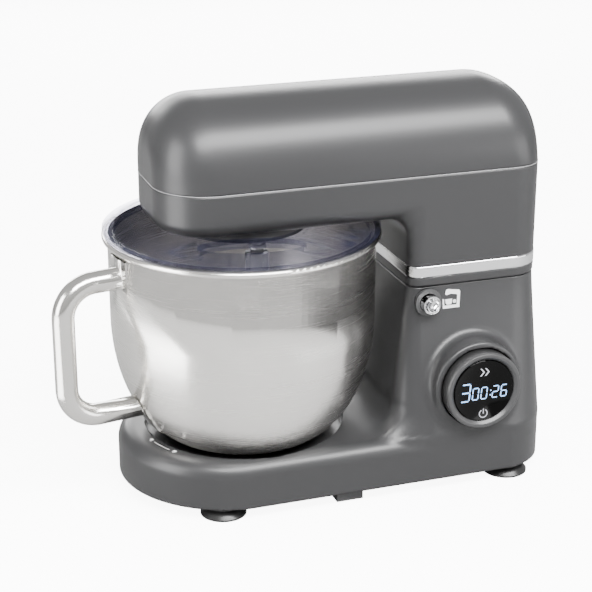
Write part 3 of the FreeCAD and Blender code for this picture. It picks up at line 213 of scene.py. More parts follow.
@dataclass(frozen=True)
class SatinPaint(Finish):
    """Sprayed satin coat: fine orange peel and slight gloss changes."""

    name: str = "satin_grey_paint"
    slot: str = "satin_grey"
    colour: Colour = (0.028, 0.028, 0.029)
    roughness: float = 0.36
    peel_size: float = 420.0

    def build(self, shader: Shader) -> bpy.types.Material:
        """Builds the paint."""
        point = shader.place()
        peel = shader.noise(point, self.peel_size, 3.0)
        cloud = shader.noise(point, 9.0, 2.0)
        rough = cloud * 0.05 + (self.roughness - 0.025) + peel * 0.03
        tone = shader.shades(cloud, self.colour, 0.97)
        normal = shader.bump(peel, 0.05, 0.0002)
        return shader.close(shader.surface(Base_Color=tone, Metallic=0.15, Roughness=rough, Normal=normal,
                                           Coat_Weight=0.10, Coat_Roughness=0.22, Specular_IOR_Level=0.4))


@dataclass(frozen=True)
class Metal(Finish):
    """A plain metal with cloudy gloss and fine scratches."""

    name: str = "mirror_chrome"
    slot: str = "chrome"
    colour: Colour = (0.86, 0.865, 0.875)
    roughness: float = 0.06
    spread: float = 0.04
    grain: float = 60.0

    def build(self, shader: Shader) -> bpy.types.Material:
        """Builds the metal."""
        point = shader.place()
        cloud = shader.noise(point, self.grain, 4.0, 0.6)
        rough = cloud * self.spread + self.roughness
        tone = shader.shades(cloud, self.colour, 0.95)
        return shader.close(shader.surface(Base_Color=tone, Metallic=1.0, Roughness=rough))


@dataclass(frozen=True)
class BrushedSteel(Finish):
    """Steel brushed round a vertical axis: fine rings that stretch each highlight upwards."""

    name: str = "brushed_bowl_steel"
    slot: str = "bowl_steel"
    colour: Colour = (0.93, 0.91, 0.875)
    roughness: float = 0.26
    centre_x: float = 0.0

    def build(self, shader: Shader) -> bpy.types.Material:
        """Builds the steel."""
        x, y, z = shader.axes(shader.place())
        around = y.angle_from(x - self.centre_x)
        lines = shader.noise(shader.joined(around * 0.9, 0.0, z * 1400.0), 1.0, 3.0, 0.6)
        broad = shader.noise(shader.joined(around * 0.8, 0.0, z * 60.0), 1.0, 2.0)
        rough = lines * 0.10 + broad * 0.04 + (self.roughness - 0.07)
        tone = shader.shades(lines, self.colour, 0.93)
        normal = shader.bump(lines, 0.010, 0.0001)
        return shader.close(shader.surface(Base_Color=tone, Metallic=1.0, Roughness=rough, Normal=normal,
                                           Anisotropic=0.75, Anisotropic_Rotation=0.25))


@dataclass(frozen=True)
class Plastic(Finish):
    """Moulded plastic or rubber with a fine spark-eroded grain."""

    name: str = "grey_plastic"
    slot: str = "grey_plastic"
    colour: Colour = (0.05, 0.05, 0.051)
    roughness: float = 0.45
    grain: float = 900.0
    depth: float = 0.06
    coat: float = 0.0
    shine: float = 0.4

    def build(self, shader: Shader) -> bpy.types.Material:
        """Builds the plastic."""
        point = shader.place()
        grain = shader.noise(point, self.grain, 2.0)
        cloud = shader.noise(point, 14.0, 2.0)
        rough = cloud * 0.08 + (self.roughness - 0.04)
        tone = shader.shades(cloud, self.colour, 0.93)
        normal = shader.bump(grain, self.depth, 0.0001)
        return shader.close(shader.surface(Base_Color=tone, Roughness=rough, Normal=normal,
                                           Coat_Weight=self.coat, Coat_Roughness=0.05,
                                           Specular_IOR_Level=self.shine))


@dataclass(frozen=True)
class ClearPlastic(Finish):
    """Clear moulded plastic: see-through face on, brighter and bluer where it is edge on."""

    name: str = "clear_lid_plastic"
    slot: str = "clear_lid"
    tint: Colour = (0.05, 0.055, 0.11)
    haze: float = 0.025

    def build(self, shader: Shader) -> bpy.types.Material:
        """Builds the clear plastic."""
        weight = shader.node("ShaderNodeLayerWeight", inputs={"Blend": 0.35}, output="Facing")
        cloud = shader.noise(shader.place(), 25.0, 2.0)
        through = shader.node("ShaderNodeBsdfTransparent", inputs={"Color": (0.80, 0.80, 0.84, 1.0)})
        solid = shader.surface(Base_Color=self.tint, Roughness=cloud * 0.04 + 0.03, Specular_IOR_Level=0.3,
                               Coat_Weight=0.1, Coat_Roughness=0.03)
        share = (weight.power(5.0) * 0.55 + self.haze).clamped()
        return shader.close(shader.node("ShaderNodeMixShader", inputs={0: share, 1: through, 2: solid}))


@dataclass(frozen=True)
class Glow(Finish):
    """A lit segment or icon."""

    name: str = "display_glow"
    slot: str = "black_gloss"
    colour: Colour = (0.34, 0.58, 1.0)
    strength: float = 4.5

    def build(self, shader: Shader) -> bpy.types.Material:
        """Builds the glow."""
        cloud = shader.noise(shader.place(), 300.0, 1.0)
        tone = shader.shades(cloud, self.colour, 0.85)
        return shader.close(shader.surface(Base_Color=(0.02, 0.02, 0.03), Roughness=0.3, Emission_Color=tone,
                                           Emission_Strength=self.strength))


PAINT = SatinPaint()
CHROME = Metal()
POLISHED = Metal("polished_handle_steel", "polished_steel", (0.76, 0.745, 0.715), 0.13, 0.10, 35.0)
STEEL = Metal("ground_steel", "steel", (0.55, 0.55, 0.56), 0.28, 0.12, 80.0)
CAST = Metal("cast_aluminium", "cast_aluminium", (0.62, 0.62, 0.63), 0.38, 0.14, 150.0)
BRONZE = Metal("sintered_bronze", "brass", (0.62, 0.45, 0.20), 0.35, 0.12, 150.0)
COPPER = Metal("enamelled_copper", "copper", (0.55, 0.24, 0.11), 0.30, 0.15, 200.0)
BODY_PLASTIC = Plastic()
RUBBER = Plastic("black_rubber", "rubber", (0.013, 0.013, 0.013), 0.30, 500.0, 0.03)
BLACK_GLASS = Plastic("black_display_glass", "black_gloss", (0.001, 0.001, 0.001), 0.10, 200.0, 0.0,
                      shine=0.12)
NYLON = Plastic("natural_nylon", "gear_plastic", (0.72, 0.70, 0.62), 0.42, 600.0, 0.05)
BOARD = Plastic("circuit_board", "board", (0.02, 0.11, 0.045), 0.35, 300.0, 0.08)
CLEAR = ClearPlastic()
GLOW = Glow()
SIGN_GLOW = Glow("sign_glow", colour=(0.92, 0.94, 1.0), strength=1.6)
# Painted highlight: light-grey paint for the thin strip at the head's seam, standing in for the light caught
# by the cover's lower edge.
SEAM_HIGHLIGHT = SatinPaint("seam_painted_highlight", "satin_grey", (0.30, 0.30, 0.305), 0.30, 600.0)
PRINT = Plastic("light_print", "grey_plastic", (0.78, 0.78, 0.78), 0.5, 700.0, 0.02)
KNOB_METAL = SatinPaint("knob_satin_paint", "satin_grey", (0.045, 0.045, 0.046), 0.30, 600.0)


# ----- piece helpers
def link(name: str, mesh: bpy.types.Mesh) -> Piece:
    """Puts a mesh into the scene as an object."""
    piece = bpy.data.objects.new(name, mesh)
    bpy.context.scene.collection.objects.link(piece)
    return piece


def smooth(piece: Piece, angle: float = 35.0, weighted: bool = True) -> None:
    """Shades a piece smooth except at edges sharper than an angle.

    Args:
        piece: The piece to shade.
        angle: The sharpest turn, in degrees, that stays smooth.
        weighted: Whether large faces pull the normals beside them flat.
    """
    mesh = piece.data
    mesh.polygons.foreach_set("use_smooth", [True] * len(mesh.polygons))
    weld = piece.modifiers.new("weld", "WELD")
    weld.merge_threshold = 1e-6
    bpy.context.view_layer.objects.active = piece
    with bpy.context.temp_override(object=piece, active_object=piece, selected_objects=[piece]):
        bpy.ops.object.shade_auto_smooth(angle=math.radians(angle))
    if weighted:
        normals = piece.modifiers.new("weighted", "WEIGHTED_NORMAL")
        normals.keep_sharp = True
        normals.weight = 60


def dress(node: str, finish: Finish) -> None:
    """Gives a CAD node its finish and smooth shading.

    Args:
        node: The CAD node's name.
        finish: Its finish.
    """
    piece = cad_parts[node]
    piece.data.materials.clear()
    piece.data.materials.append(finish.material())
    for polygon in piece.data.polygons:
        polygon.material_index = 0
    smooth(piece)
    LOG.info("dressed %s in %s", node, finish.name)


def mount(piece: Piece, body: str, finish: Finish, *stands_for: str) -> None:
    """Finishes a new piece and fixes it to a body.

    Args:
        piece: The piece, in place.
        body: The CAD body it rides on.
        finish: Its finish.
        stands_for: CAD nodes that it is shown in place of.
    """
    piece.data.materials.clear()
    piece.data.materials.append(finish.material())
    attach(piece, body)
    if stands_for:
        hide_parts(*stands_for)
    LOG.info("made %s on %s, %d faces", piece.name, body, len(piece.data.polygons))


# ----- measures
LOW_BOWL, HIGH_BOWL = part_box("bowl_shell")
AXIS_X = (LOW_BOWL[0] + HIGH_BOWL[0]) / 2
RIGHT = Vector((1, 0, 0))
AWAY = Vector((0, 1, 0))
UP = Vector((0, 0, 1))


def low(node: str) -> Vector:
    """A CAD node's lowest corner in millimetres about the bowl's axis."""
    return (Vector(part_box(node)[0]) - Vector((AXIS_X, 0, 0))) / MM


class Facing(Enum):
    """Where a turned piece's height grows."""

    UPWARDS = "upwards"
    CONTROLS = "towards the control side"


# ----- mesh building
def as_mesh(name: str, points: Points, faces: Union[np.ndarray, list[list[int]]]) -> Piece:
    """Makes an object from millimetre points about the bowl's axis.

    Args:
        name: The object's name.
        points: The corners, one row each.
        faces: Rows of corner numbers.

    Returns:
        The object, in the frame's metres.
    """
    placed = np.asarray(points, float) * MM + np.array([AXIS_X, 0.0, 0.0])
    rows = faces.tolist() if isinstance(faces, np.ndarray) else faces
    mesh = bpy.data.meshes.new(name)
    mesh.from_pydata(placed.tolist(), [], rows)
    work = bmesh.new()
    work.from_mesh(mesh)
    bmesh.ops.remove_doubles(work, verts=work.verts, dist=2e-6)
    bmesh.ops.recalc_face_normals(work, faces=work.faces)
    work.to_mesh(mesh)
    work.free()
    return link(name, mesh)


def rounded(corners: Sequence[tuple[float, ...]], steps: int = 5) -> Outline:
    """An outline whose corners are filleted.

    Args:
        corners: (a, b) or (a, b, fillet radius) corners in order.
        steps: Stretches in each fillet.

    Returns:
        The outline's points.
    """
    points: Outline = []
    count = len(corners)
    for index, corner in enumerate(corners):
        here = Vector(corner[:2])
        if len(corner) < 3:
            points.append(tuple(here))
            continue
        before, after = Vector(corners[index - 1][:2]), Vector(corners[(index + 1) % count][:2])
        into, out = (before - here).normalized(), (after - here).normalized()
        half = math.acos(max(-1.0, min(1.0, into.dot(out)))) / 2
        room = min((before - here).length, (after - here).length) * 0.5
        reach = min(corner[2] / math.tan(half), room)
        centre = here + (into + out).normalized() * reach / math.cos(half)
        start, end = here + into * reach - centre, here + out * reach - centre
        points += [tuple(centre + start.slerp(end, step / steps)) for step in range(steps + 1)]
    return points


def lathe(name: str, outline: Outline, centre: tuple[float, float, float] = (0.0, 0.0, 0.0),
          facing: Facing = Facing.UPWARDS, steps: int = 160) -> Piece:
    """A closed outline of (radius, height) turned about an axis.

    Args:
        name: The object's name.
        outline: The closed outline.
        centre: A point of the axis.
        facing: Where height grows.
        steps: Facets round the axis.

    Returns:
        The turned object.
    """
    turn = np.linspace(0, 2 * np.pi, steps, endpoint=False)
    radius, height = np.array(outline).T
    across, along = np.outer(np.cos(turn), radius), np.outer(np.sin(turn), radius)
    tall = np.broadcast_to(height, across.shape)
    parts = [across, along, tall] if facing is Facing.UPWARDS else [across, -tall, along]
    points = np.stack(parts, axis=-1).reshape(-1, 3) + np.array(centre)
    index = np.arange(steps * len(outline)).reshape(steps, len(outline))
    index = np.vstack([index, index[:1]])
    index = np.hstack([index, index[:, :1]])
    faces = np.stack([index[:-1, :-1], index[1:, :-1], index[1:, 1:], index[:-1, 1:]], axis=-1)
    return as_mesh(name, points, faces.reshape(-1, 4))


def box(name: str, lowest: tuple[float, ...], highest: tuple[float, ...]) -> Piece:
    """A plain box.

    Args:
        name: The object's name.
        lowest: Its lowest corner.
        highest: Its highest corner.

    Returns:
        The box.
    """
    corners = [(x, y, z) for x in (lowest[0], highest[0]) for y in (lowest[1], highest[1])
               for z in (lowest[2], highest[2])]
    faces = [[0, 1, 3, 2], [4, 6, 7, 5], [0, 4, 5, 1], [2, 3, 7, 6], [0, 2, 6, 4], [1, 5, 7, 3]]
    return as_mesh(name, np.array(corners), faces)


def slab(name: str, shapes: list[Outline], origin: Vector, right: Vector, up: Vector,
         depth: float) -> Piece:
    """Flat shapes laid on a surface, as thin solids.

    Args:
        name: The object's name.
        shapes: Closed outlines in the surface's own two directions.
        origin: Where the outlines' zero lies.
        right: The first direction.
        up: The second direction.
        depth: How far the shapes stand off the surface; they reach a tenth as far below it.

    Returns:
        The object.
    """
    out = right.cross(up).normalized()
    points, faces = [], []
    for shape in shapes:
        first, count = len(points), len(shape)
        for level in (-0.1 * depth, depth):
            points += [tuple(origin + right * a + up * b + out * level) for a, b in shape]
        faces.append(list(range(first, first + count))[::-1])
        faces.append(list(range(first + count, first + 2 * count)))
        for index in range(count):
            here, following = first + index, first + (index + 1) % count
            faces.append([here, following, following + count, here + count])
    return as_mesh(name, np.array(points), faces)


def arc_strip(radius: float, width: float, start: float, end: float,
              centre: Pair = (0.0, 0.0), steps: int = 24) -> Outline:
    """A flat arc of a width.

    Args:
        radius: The radius of its middle.
        width: How wide it is.
        start: The angle where it starts, in degrees.
        end: The angle where it ends.
        centre: Its centre.
        steps: Stretches along it.

    Returns:
        The outline.
    """
    turns = [math.radians(start + (end - start) * step / steps) for step in range(steps + 1)]
    outer, inner = ([(centre[0] + size * math.cos(turn), centre[1] + size * math.sin(turn)) for turn in turns]
                    for size in (radius + width / 2, radius - width / 2))
    return outer + inner[::-1]


def dot(radius: float, centre: Pair, steps: int) -> Outline:
    """A round spot, as an arc strip that reaches its own centre."""
    return arc_strip(radius / 2, radius, 0, 359.9, centre, steps)


def carve(piece: Piece, cutters: list[Piece]) -> None:
    """Cuts closed shapes out of a piece and discards them.

    Args:
        piece: The piece to cut.
        cutters: The shapes to take away.
    """
    for cutter in cutters:
        step = piece.modifiers.new("carve", "BOOLEAN")
        step.operation = "DIFFERENCE"
        step.solver = "EXACT"
        step.object = cutter
    bpy.context.view_layer.update()
    whole = piece.evaluated_get(bpy.context.evaluated_depsgraph_get())
    mesh = bpy.data.meshes.new_from_object(whole)
    piece.modifiers.clear()
    piece.data = mesh
    for cutter in cutters:
        bpy.data.objects.remove(cutter)


# ----- sculpted forms
SCULPT_ANGLE = 38.0


def cornered(along: np.ndarray, across: np.ndarray, radius: Values) -> np.ndarray:
    """How far outside two walls with a rounded corner points lie.

    Args:
        along: How far outside the first wall they are.
        across: How far outside the second wall they are.
        radius: The corner's radius.

    Returns:
        The distances, negative inside.
    """
    a, b = along + radius, across + radius
    return np.hypot(np.maximum(a, 0), np.maximum(b, 0)) + np.minimum(np.maximum(a, b), 0) - radius


def round_cut(first: np.ndarray, second: np.ndarray, radius: Values) -> np.ndarray:
    """The overlap of two forms with a rounded edge."""
    outside = np.hypot(np.maximum(first + radius, 0), np.maximum(second + radius, 0))
    return np.minimum(-radius, np.maximum(first, second)) + outside


def slopes(form: Field, points: Points, reach: float = 0.05) -> tuple[np.ndarray, Points]:
    """A form's values and its directions of growth.

    Args:
        form: The form.
        points: Where to measure.
        reach: The step to the neighbouring points.

    Returns:
        The values, and the growth per millimetre along each axis.
    """
    value = form(points)
    steps = [form(points + np.eye(3)[axis] * reach) - value for axis in range(3)]
    return value, np.stack(steps, axis=-1) / reach


def blended(first: Field, second: Field, radius: float) -> Field:
    """Joins two forms with a fillet that fades where their surfaces run the same way.

    Args:
        first: One form.
        second: The other.
        radius: The fillet's radius where the surfaces cross squarely.

    Returns:
        The joined form.
    """
    def joined(points: Points) -> np.ndarray:
        """The joined form's values."""
        (a, rise_a), (b, rise_b) = slopes(first, points), slopes(second, points)
        lengths = np.linalg.norm(rise_a, axis=-1) * np.linalg.norm(rise_b, axis=-1) + 1e-9
        across = np.clip(1.06 * (1 - (rise_a * rise_b).sum(-1) / lengths) - 0.06, 0, 1)
        fillet = radius * across + 1e-3
        hollow = np.hypot(np.maximum(fillet - a, 0), np.maximum(fillet - b, 0))
        return np.maximum(fillet, np.minimum(a, b)) - hollow
    return joined


def evened(points: Points, faces: np.ndarray) -> Points:
    """Moves each corner to the middle of its neighbours.

    Args:
        points: The corners.
        faces: The four-sided faces.

    Returns:
        The moved corners.
    """
    after = np.roll(faces, -1, axis=1)
    starts = np.concatenate([faces.T.ravel(), after.T.ravel()])
    ends = np.concatenate([after.T.ravel(), faces.T.ravel()])
    count = np.bincount(starts, minlength=len(points))[:, None]
    total = [np.bincount(starts, points[ends, axis], len(points)) for axis in range(3)]
    return np.stack(total, axis=-1) / np.maximum(count, 1)


def sculpt(name: str, form: Field, lowest: Sequence[float], highest: Sequence[float],
           cell: float) -> Piece:
    """Turns a form, negative inside, into a mesh whose corners lie on its surface.

    Args:
        name: The object's name.
        form: The form.
        lowest: The searched box's lowest corner.
        highest: Its highest corner.
        cell: The size of the search grid's cells.

    Returns:
        The object, closed inside the searched box.
    """
    start, end = np.array(lowest, float), np.array(highest, float)

    def closed(spots: Points) -> np.ndarray:
        """The form cut off a little inside the searched box."""
        walls = np.maximum(start + 1.5 * cell - spots, spots - end + 1.5 * cell).max(axis=-1)
        return np.maximum(form(spots), walls)

    counts = np.ceil((end - start) / cell).astype(int) + 1
    rows = [start[axis] + np.arange(counts[axis]) * cell for axis in range(3)]
    grid = np.stack(np.meshgrid(*rows, indexing="ij"), axis=-1)
    inside = np.concatenate([closed(part.reshape(-1, 3)).reshape(part.shape[:-1]) < 0
                             for part in np.array_split(grid, 8)])
    total = sum(inside[i:counts[0] - 1 + i, j:counts[1] - 1 + j, k:counts[2] - 1 + k].astype(np.int8)
                for i in (0, 1) for j in (0, 1) for k in (0, 1))
    crossed = (total > 0) & (total < 8)
    numbers = np.full(crossed.shape, -1)
    numbers[crossed] = np.arange(crossed.sum())
    points = start + (np.argwhere(crossed) + 0.5) * cell
    faces = crossing_faces(inside, numbers)
    for turn in range(9):
        if turn in (2, 4, 6):
            points = evened(points, faces)
        value, rise = slopes(closed, points)
        shift = rise * (value / ((rise ** 2).sum(-1) + 1e-6))[:, None]
        points = points - np.clip(shift, -0.6 * cell, 0.6 * cell)
    return as_mesh(name, points, faces)


def crossing_faces(inside: np.ndarray, numbers: np.ndarray) -> np.ndarray:
    """The faces between cells that share a grid edge which crosses the surface.

    Args:
        inside: Whether each grid point is inside the form.
        numbers: Each cell's corner number, or -1.

    Returns:
        Rows of four corner numbers.
    """
    quads = []
    for axis in range(3):
        first, second = (axis + 1) % 3, (axis + 2) % 3
        one, two = np.eye(3, dtype=int)[first], np.eye(3, dtype=int)[second]
        before = np.take(inside, range(inside.shape[axis] - 1), axis)
        after = np.take(inside, range(1, inside.shape[axis]), axis)
        spots = np.argwhere(before != after)
        spots = spots[(spots[:, first] > 0) & (spots[:, second] > 0)]
        ring = [spots - one - two, spots - two, spots, spots - one]
        quads.append(np.stack([numbers[tuple(corner.T)] for corner in ring], axis=-1))
    faces = np.concatenate(quads)
    return faces[(faces >= 0).all(axis=1)]


# ----- sub-assemblies
class Part:
    """One visible sub-assembly."""

    def build(self) -> None:
        """Makes the sub-assembly's pieces and mounts them."""
        raise NotImplementedError


@dataclass
class Housing(Part):
    """The one-piece base: slab, flared tower and knob boss."""

    front_centre: float = -15.0
    half: float = 98.0
    rear: float = 261.8
    rear_corner: float = 50.0
    top: float = 52.5
    top_edge: float = 14.0
    tower_top: float = 180.0
    tower_front: float = 130.0
    tower_lean: float = 0.163
    cove_top: float = 82.5
    cove: float = 30.0
    tower_rear: float = 256.8
    knob: Pair = (184.0, 94.5)
    boss_radius: float = 40.5
    boss_face: float = -97.0
    pocket_radius: float = 35.7
    button: Pair = (145.0, 168.0)
    button_hole: float = 10.4
    recess: Pair = (89.0, 42.5)
    well: Pair = (62.0, 33.5)
    cell: float = 2.3

    def slab(self, points: Points) -> np.ndarray:
        """The base slab with its half-round front.

        Args:
            points: Where to measure.

        Returns:
            How far outside it they are.
        """
        x, y, z = points.T
        front = np.hypot(x - self.front_centre, y) - self.half
        rear = cornered(x - self.rear, np.abs(y) - self.half, self.rear_corner)
        return round_cut(np.where(x < self.front_centre, front, rear), z - self.top, self.top_edge)

    @staticmethod
    def flare(z: Values) -> Values:
        """How far down the tower a height is, from 0 at the split to 1 at the base."""
        return np.clip((180.5 - z) / 128.0, 0, 1)

    @staticmethod
    def half_width(z: Values) -> Values:
        """Half the tower's width at a height."""
        return 66.3 + 31.5 * Housing.flare(z) ** 1.3

    @staticmethod
    def side_slope(z: float) -> float:
        """How far the side wall moves inwards for each millimetre of height."""
        return 31.5 * 1.3 / 128.0 * float(Housing.flare(z)) ** 0.3

    def tower(self, points: Points) -> np.ndarray:
        """The tower, whose sides flare out to the base.

        Args:
            points: Where to measure.

        Returns:
            How far outside it they are.
        """
        x, y, z = points.T
        share = self.flare(z)
        ahead = self.tower_front - self.tower_lean * (180.5 - np.clip(z, self.cove_top, 180.5))
        behind = self.tower_rear + 5.0 * share
        is_front = x < (ahead + behind) / 2
        corner = np.where(is_front, 12.0 + 22.0 * share ** 2, 30.0 + 20.0 * share ** 1.5)
        return cornered(np.where(is_front, ahead - x, x - behind), np.abs(y) - self.half_width(z), corner)

    def boss(self, points: Points) -> np.ndarray:
        """The round drum the knob sits in.

        Args:
            points: Where to measure.

        Returns:
            How far outside it they are.
        """
        x, y, z = points.T
        drum = np.hypot(x - self.knob[0], z - self.knob[1]) - self.boss_radius
        return np.maximum(round_cut(drum, self.boss_face - y, 2.5), y)

    def cutters(self, floor: float) -> list[Piece]:
        """The shapes cut out of the housing.

        Args:
            floor: The height of its lower edge.

        Returns:
            The cutters, from the underside to the button hole.
        """
        above = self.top + 7.5
        bowl = [(0, self.well[1]), (*self.well, 1.5), (self.well[0], self.recess[1]), (*self.recess, 2),
                (self.recess[0], above), (0, above)]
        pocket = [(0, 92), (self.pocket_radius, 92), (self.pocket_radius, 110), (0, 110)]
        hole = [(0, 44), (self.button_hole, 44), (self.button_hole, 90), (0, 90)]
        return [
            box("bottom_cut", (-130, -110, floor - 20), (280, 110, floor)),
            box("top_cut", (90, -110, self.tower_top), (280, 110, self.tower_top + 20)),
            lathe("bowl_cut", rounded(bowl)),
            lathe("knob_cut", pocket, (self.knob[0], 0, self.knob[1]), Facing.CONTROLS),
            lathe("button_cut", hole, (self.button[0], 0, self.button[1]), Facing.CONTROLS, 64),
        ]

    def build(self) -> None:
        """Makes the housing and cuts its recesses."""
        body = blended(self.slab, self.tower, self.cove)
        whole = blended(body, self.boss, 9.0)
        floor = low("base_housing").z
        housing = sculpt("housing_body", whole, (-118, -101, floor - 6), (267, 101, self.tower_top + 6),
                         self.cell)
        carve(housing, self.cutters(floor))
        smooth(housing, SCULPT_ANGLE, False)
        mount(housing, "stand", PAINT, "base_housing")


@dataclass
class HeadCover(Part):
    """The head's arched upper cover with its rounded nose."""

    front: float = -83.4
    rear: float = 257.0
    half: float = 67.3
    seam: float = 279.5
    top: float = 349.46
    fullness: float = 2.35
    nose: Pair = (47.0, 44.0)
    tail: Pair = (30.0, 48.0)
    cell: float = 2.3

    def arch(self, points: Points) -> np.ndarray:
        """The cover's arch closed by its two rounded ends.

        Args:
            points: Where to measure.

        Returns:
            How far outside it they are.
        """
        x, y, z = points.T
        height = self.top - self.seam
        tall = np.maximum(z - self.seam, 0)
        spread = (np.abs(y) / self.half) ** self.fullness + (tall / height) ** self.fullness
        reach = np.hypot(y, tall)
        around = reach - reach / np.maximum(spread ** (1 / self.fullness), 1e-6)
        share = np.clip(tall / height, 0, 1)
        nose, tail = (low_end + (high_end - low_end) * share for low_end, high_end in (self.nose, self.tail))
        return round_cut(round_cut(around, self.front - x, nose), x - self.rear, tail)

    def build(self) -> None:
        """Makes the cover, cut level at the seam."""
        cover = sculpt("head_cover", self.arch, (self.front - 4, -72, self.seam - 6),
                       (self.rear + 4, 72, self.top + 4), self.cell)
        carve(cover, [box("seam_cut", (-120, -90, self.seam - 12), (290, 90, self.seam))])
        smooth(cover, SCULPT_ANGLE, False)
        mount(cover, "head", PAINT, "head_upper_cover")


@dataclass
class HeadCasing(Part):
    """The head's lower casing and neck, the bright band, the ring below it and a light-grey strip at the seam
    that is a painted highlight.
    """

    front: float = -83.4
    front_corner: float = 47.0
    rear: float = 257.0
    rear_corner: float = 30.0
    half: float = 67.3
    neck_front: float = 130.0
    neck_corner: float = 12.0
    neck_cove: float = 18.0
    arm_floor: float = 241.5
    arm_edge: float = 13.0
    seam: float = 279.5
    band: Pair = (189.0, 199.0)
    ring_floor: float = 181.2
    # Heights, from the seam, of the strip that carries the painted seam highlight.
    highlight_strip: Pair = (-0.35, 0.25)
    cell: float = 2.4

    def plan(self, points: Points, ahead: float, corner: float) -> np.ndarray:
        """The outline in plan, from a front to the rear.

        Args:
            points: Where to measure.
            ahead: Where the front face stands.
            corner: The front corners' radius.

        Returns:
            How far outside the outline each point is.
        """
        x, y = points[:, 0], points[:, 1]
        is_front = x < (ahead + self.rear) / 2
        size = np.where(is_front, corner, self.rear_corner)
        return cornered(np.where(is_front, ahead - x, x - self.rear), np.abs(y) - self.half, size)

    def neck(self, points: Points) -> np.ndarray:
        """The upright neck."""
        return self.plan(points, self.neck_front, self.neck_corner)

    def arm(self, points: Points) -> np.ndarray:
        """The arm over the bowl, with its rounded lower edge."""
        outline = self.plan(points, self.front, self.front_corner)
        return round_cut(outline, self.arm_floor - points[:, 2], self.arm_edge)

    def layer(self, name: str, form: Field, bottom: float, top: float) -> Piece:
        """One slice of the head between two heights.

        Args:
            name: The slice's name.
            form: The form to slice.
            bottom: Its lower face.
            top: Its upper face.

        Returns:
            The slice.
        """
        made = sculpt(name, form, (self.front - 5, -74, bottom - 7), (self.rear + 5, 74, top + 7), self.cell)
        carve(made, [box("below", (-140, -100, bottom - 20), (300, 100, bottom)),
                     box("above", (-140, -100, top), (300, 100, top + 20))])
        smooth(made, SCULPT_ANGLE, False)
        return made

    def build(self) -> None:
        """Makes the four pieces."""
        strip_floor, strip_top = (self.seam + step for step in self.highlight_strip)
        band_floor, band_top = self.band
        casing = self.layer("head_casing", blended(self.arm, self.neck, self.neck_cove), band_top, strip_floor)
        mount(casing, "head", PAINT, "head_lower_casing")
        band = self.layer("bright_band", lambda spots: self.neck(spots) - 0.38, band_floor, band_top)
        mount(band, "head", CHROME, "chrome_band")
        ring = self.layer("neck_lower_ring", self.neck, self.ring_floor, band_floor)
        mount(ring, "head", PAINT, "neck_ring")
        # A thin strip a little proud of the casing, in light-grey paint: a painted highlight along the seam.
        highlight_strip = self.layer("seam_highlight_strip", lambda spots: self.plan(spots, self.front, self.front_corner) - 0.15,
                          strip_floor, strip_top)
        mount(highlight_strip, "head", SEAM_HIGHLIGHT)


@dataclass
class Knob(Part):
    """The speed ring around the lit glass display."""

    axis_x: float = 184.0
    axis_z: float = 94.5
    back: float = 95.6
    face: float = 108.5
    radius: float = 34.5
    glass_radius: float = 28.5
    relief: float = 0.12
    digit_pitch: float = 1.52
    lean: float = 0.08

    def build(self) -> None:
        """Makes the ring and the lit signs on the glass."""
        outline = rounded([(self.radius, self.back), (self.radius, self.face - 1.5, 0.8),
                           (self.radius - 1.0, self.face, 0.5), (self.glass_radius + 2.8, self.face, 0.5),
                           (self.glass_radius, self.face - 2.3, 0.8), (self.glass_radius, self.back)], 4)
        ring = lathe("knob_ring_body", outline, (self.axis_x, 0.0, self.axis_z), Facing.CONTROLS, 192)
        smooth(ring, 40, False)
        mount(ring, "knob", KNOB_METAL, "knob_ring")
        glass = Vector((self.axis_x, low("display_lens").y, self.axis_z))
        strokes = self.number("3", -21.4, -8.0, 15.8, 1.15) + self.number("00", -10.6, -7.4, 10.6, 0.85)
        strokes += self.number("26", 8.2, -7.4, 10.6, 0.85)
        strokes += [dot(0.6, centre, 12) for centre in ((6.0, -4.6), (6.3, -0.4))]
        mount(slab("display_digits", strokes, glass, RIGHT, UP, self.relief), "stand", GLOW)
        signs = [self.chevron(-3.0), self.chevron(1.4)] + self.power_sign(-21.4)
        mount(slab("display_signs", signs, glass, RIGHT, UP, self.relief), "stand", SIGN_GLOW)

    @staticmethod
    def chevron(x: float) -> Outline:
        """One arrow head above the digits."""
        return [(x - 1.4, 21.0), (x - 0.1, 21.0), (x + 2.9, 17.5), (x - 0.1, 14.0), (x - 1.4, 14.0),
                (x + 1.6, 17.5)]

    @staticmethod
    def power_sign(z: float) -> list[Outline]:
        """An open ring with a bar, below the digits."""
        stroke = [(-0.35, z), (0.35, z), (0.35, z + 4.5), (-0.35, z + 4.5)]
        return [arc_strip(3.7, 0.7, 122, 418, (0.0, z)), stroke]

    def number(self, text: str, left: float, bottom: float, height: float, thick: float) -> list[Outline]:
        """The lit bars of a number.

        Args:
            text: Its digits.
            left: Where the first starts.
            bottom: Where they stand.
            height: How tall they are.
            thick: How thick each bar is.

        Returns:
            The bars' outlines.
        """
        width, bars = height * 0.5, []
        lit = {"0": "abcdef", "2": "abged", "3": "abgcd", "6": "afgedc"}
        for index, digit in enumerate(text):
            x, middle, top = left + index * width * self.digit_pitch, bottom + height / 2, bottom + height
            starts = {"a": (x, top), "g": (x, middle), "d": (x, bottom), "f": (x, middle),
                      "e": (x, bottom), "b": (x + width, middle), "c": (x + width, bottom)}
            for name in lit[digit]:
                flat = name in "agd"
                bars.append(self.bar(*starts[name], width if flat else height / 2, thick, flat))
        return bars

    def bar(self, x: float, y: float, length: float, thick: float, flat: bool) -> Outline:
        """One pointed bar that leans with the others.

        Args:
            x: Where it starts, to the right.
            y: Where it starts, upwards.
            length: The distance between two bars' crossings.
            thick: How thick it is.
            flat: Whether it lies rather than stands.

        Returns:
            The bar's outline.
        """
        half, gap = thick / 2, thick * 0.35
        shape = [(gap, 0), (gap + half, half), (length - gap - half, half), (length - gap, 0),
                 (length - gap - half, -half), (gap + half, -half)]
        turned = shape if flat else [(-b, a) for a, b in shape]
        return [(x + a + (y + b) * self.lean, y + b) for a, b in turned]


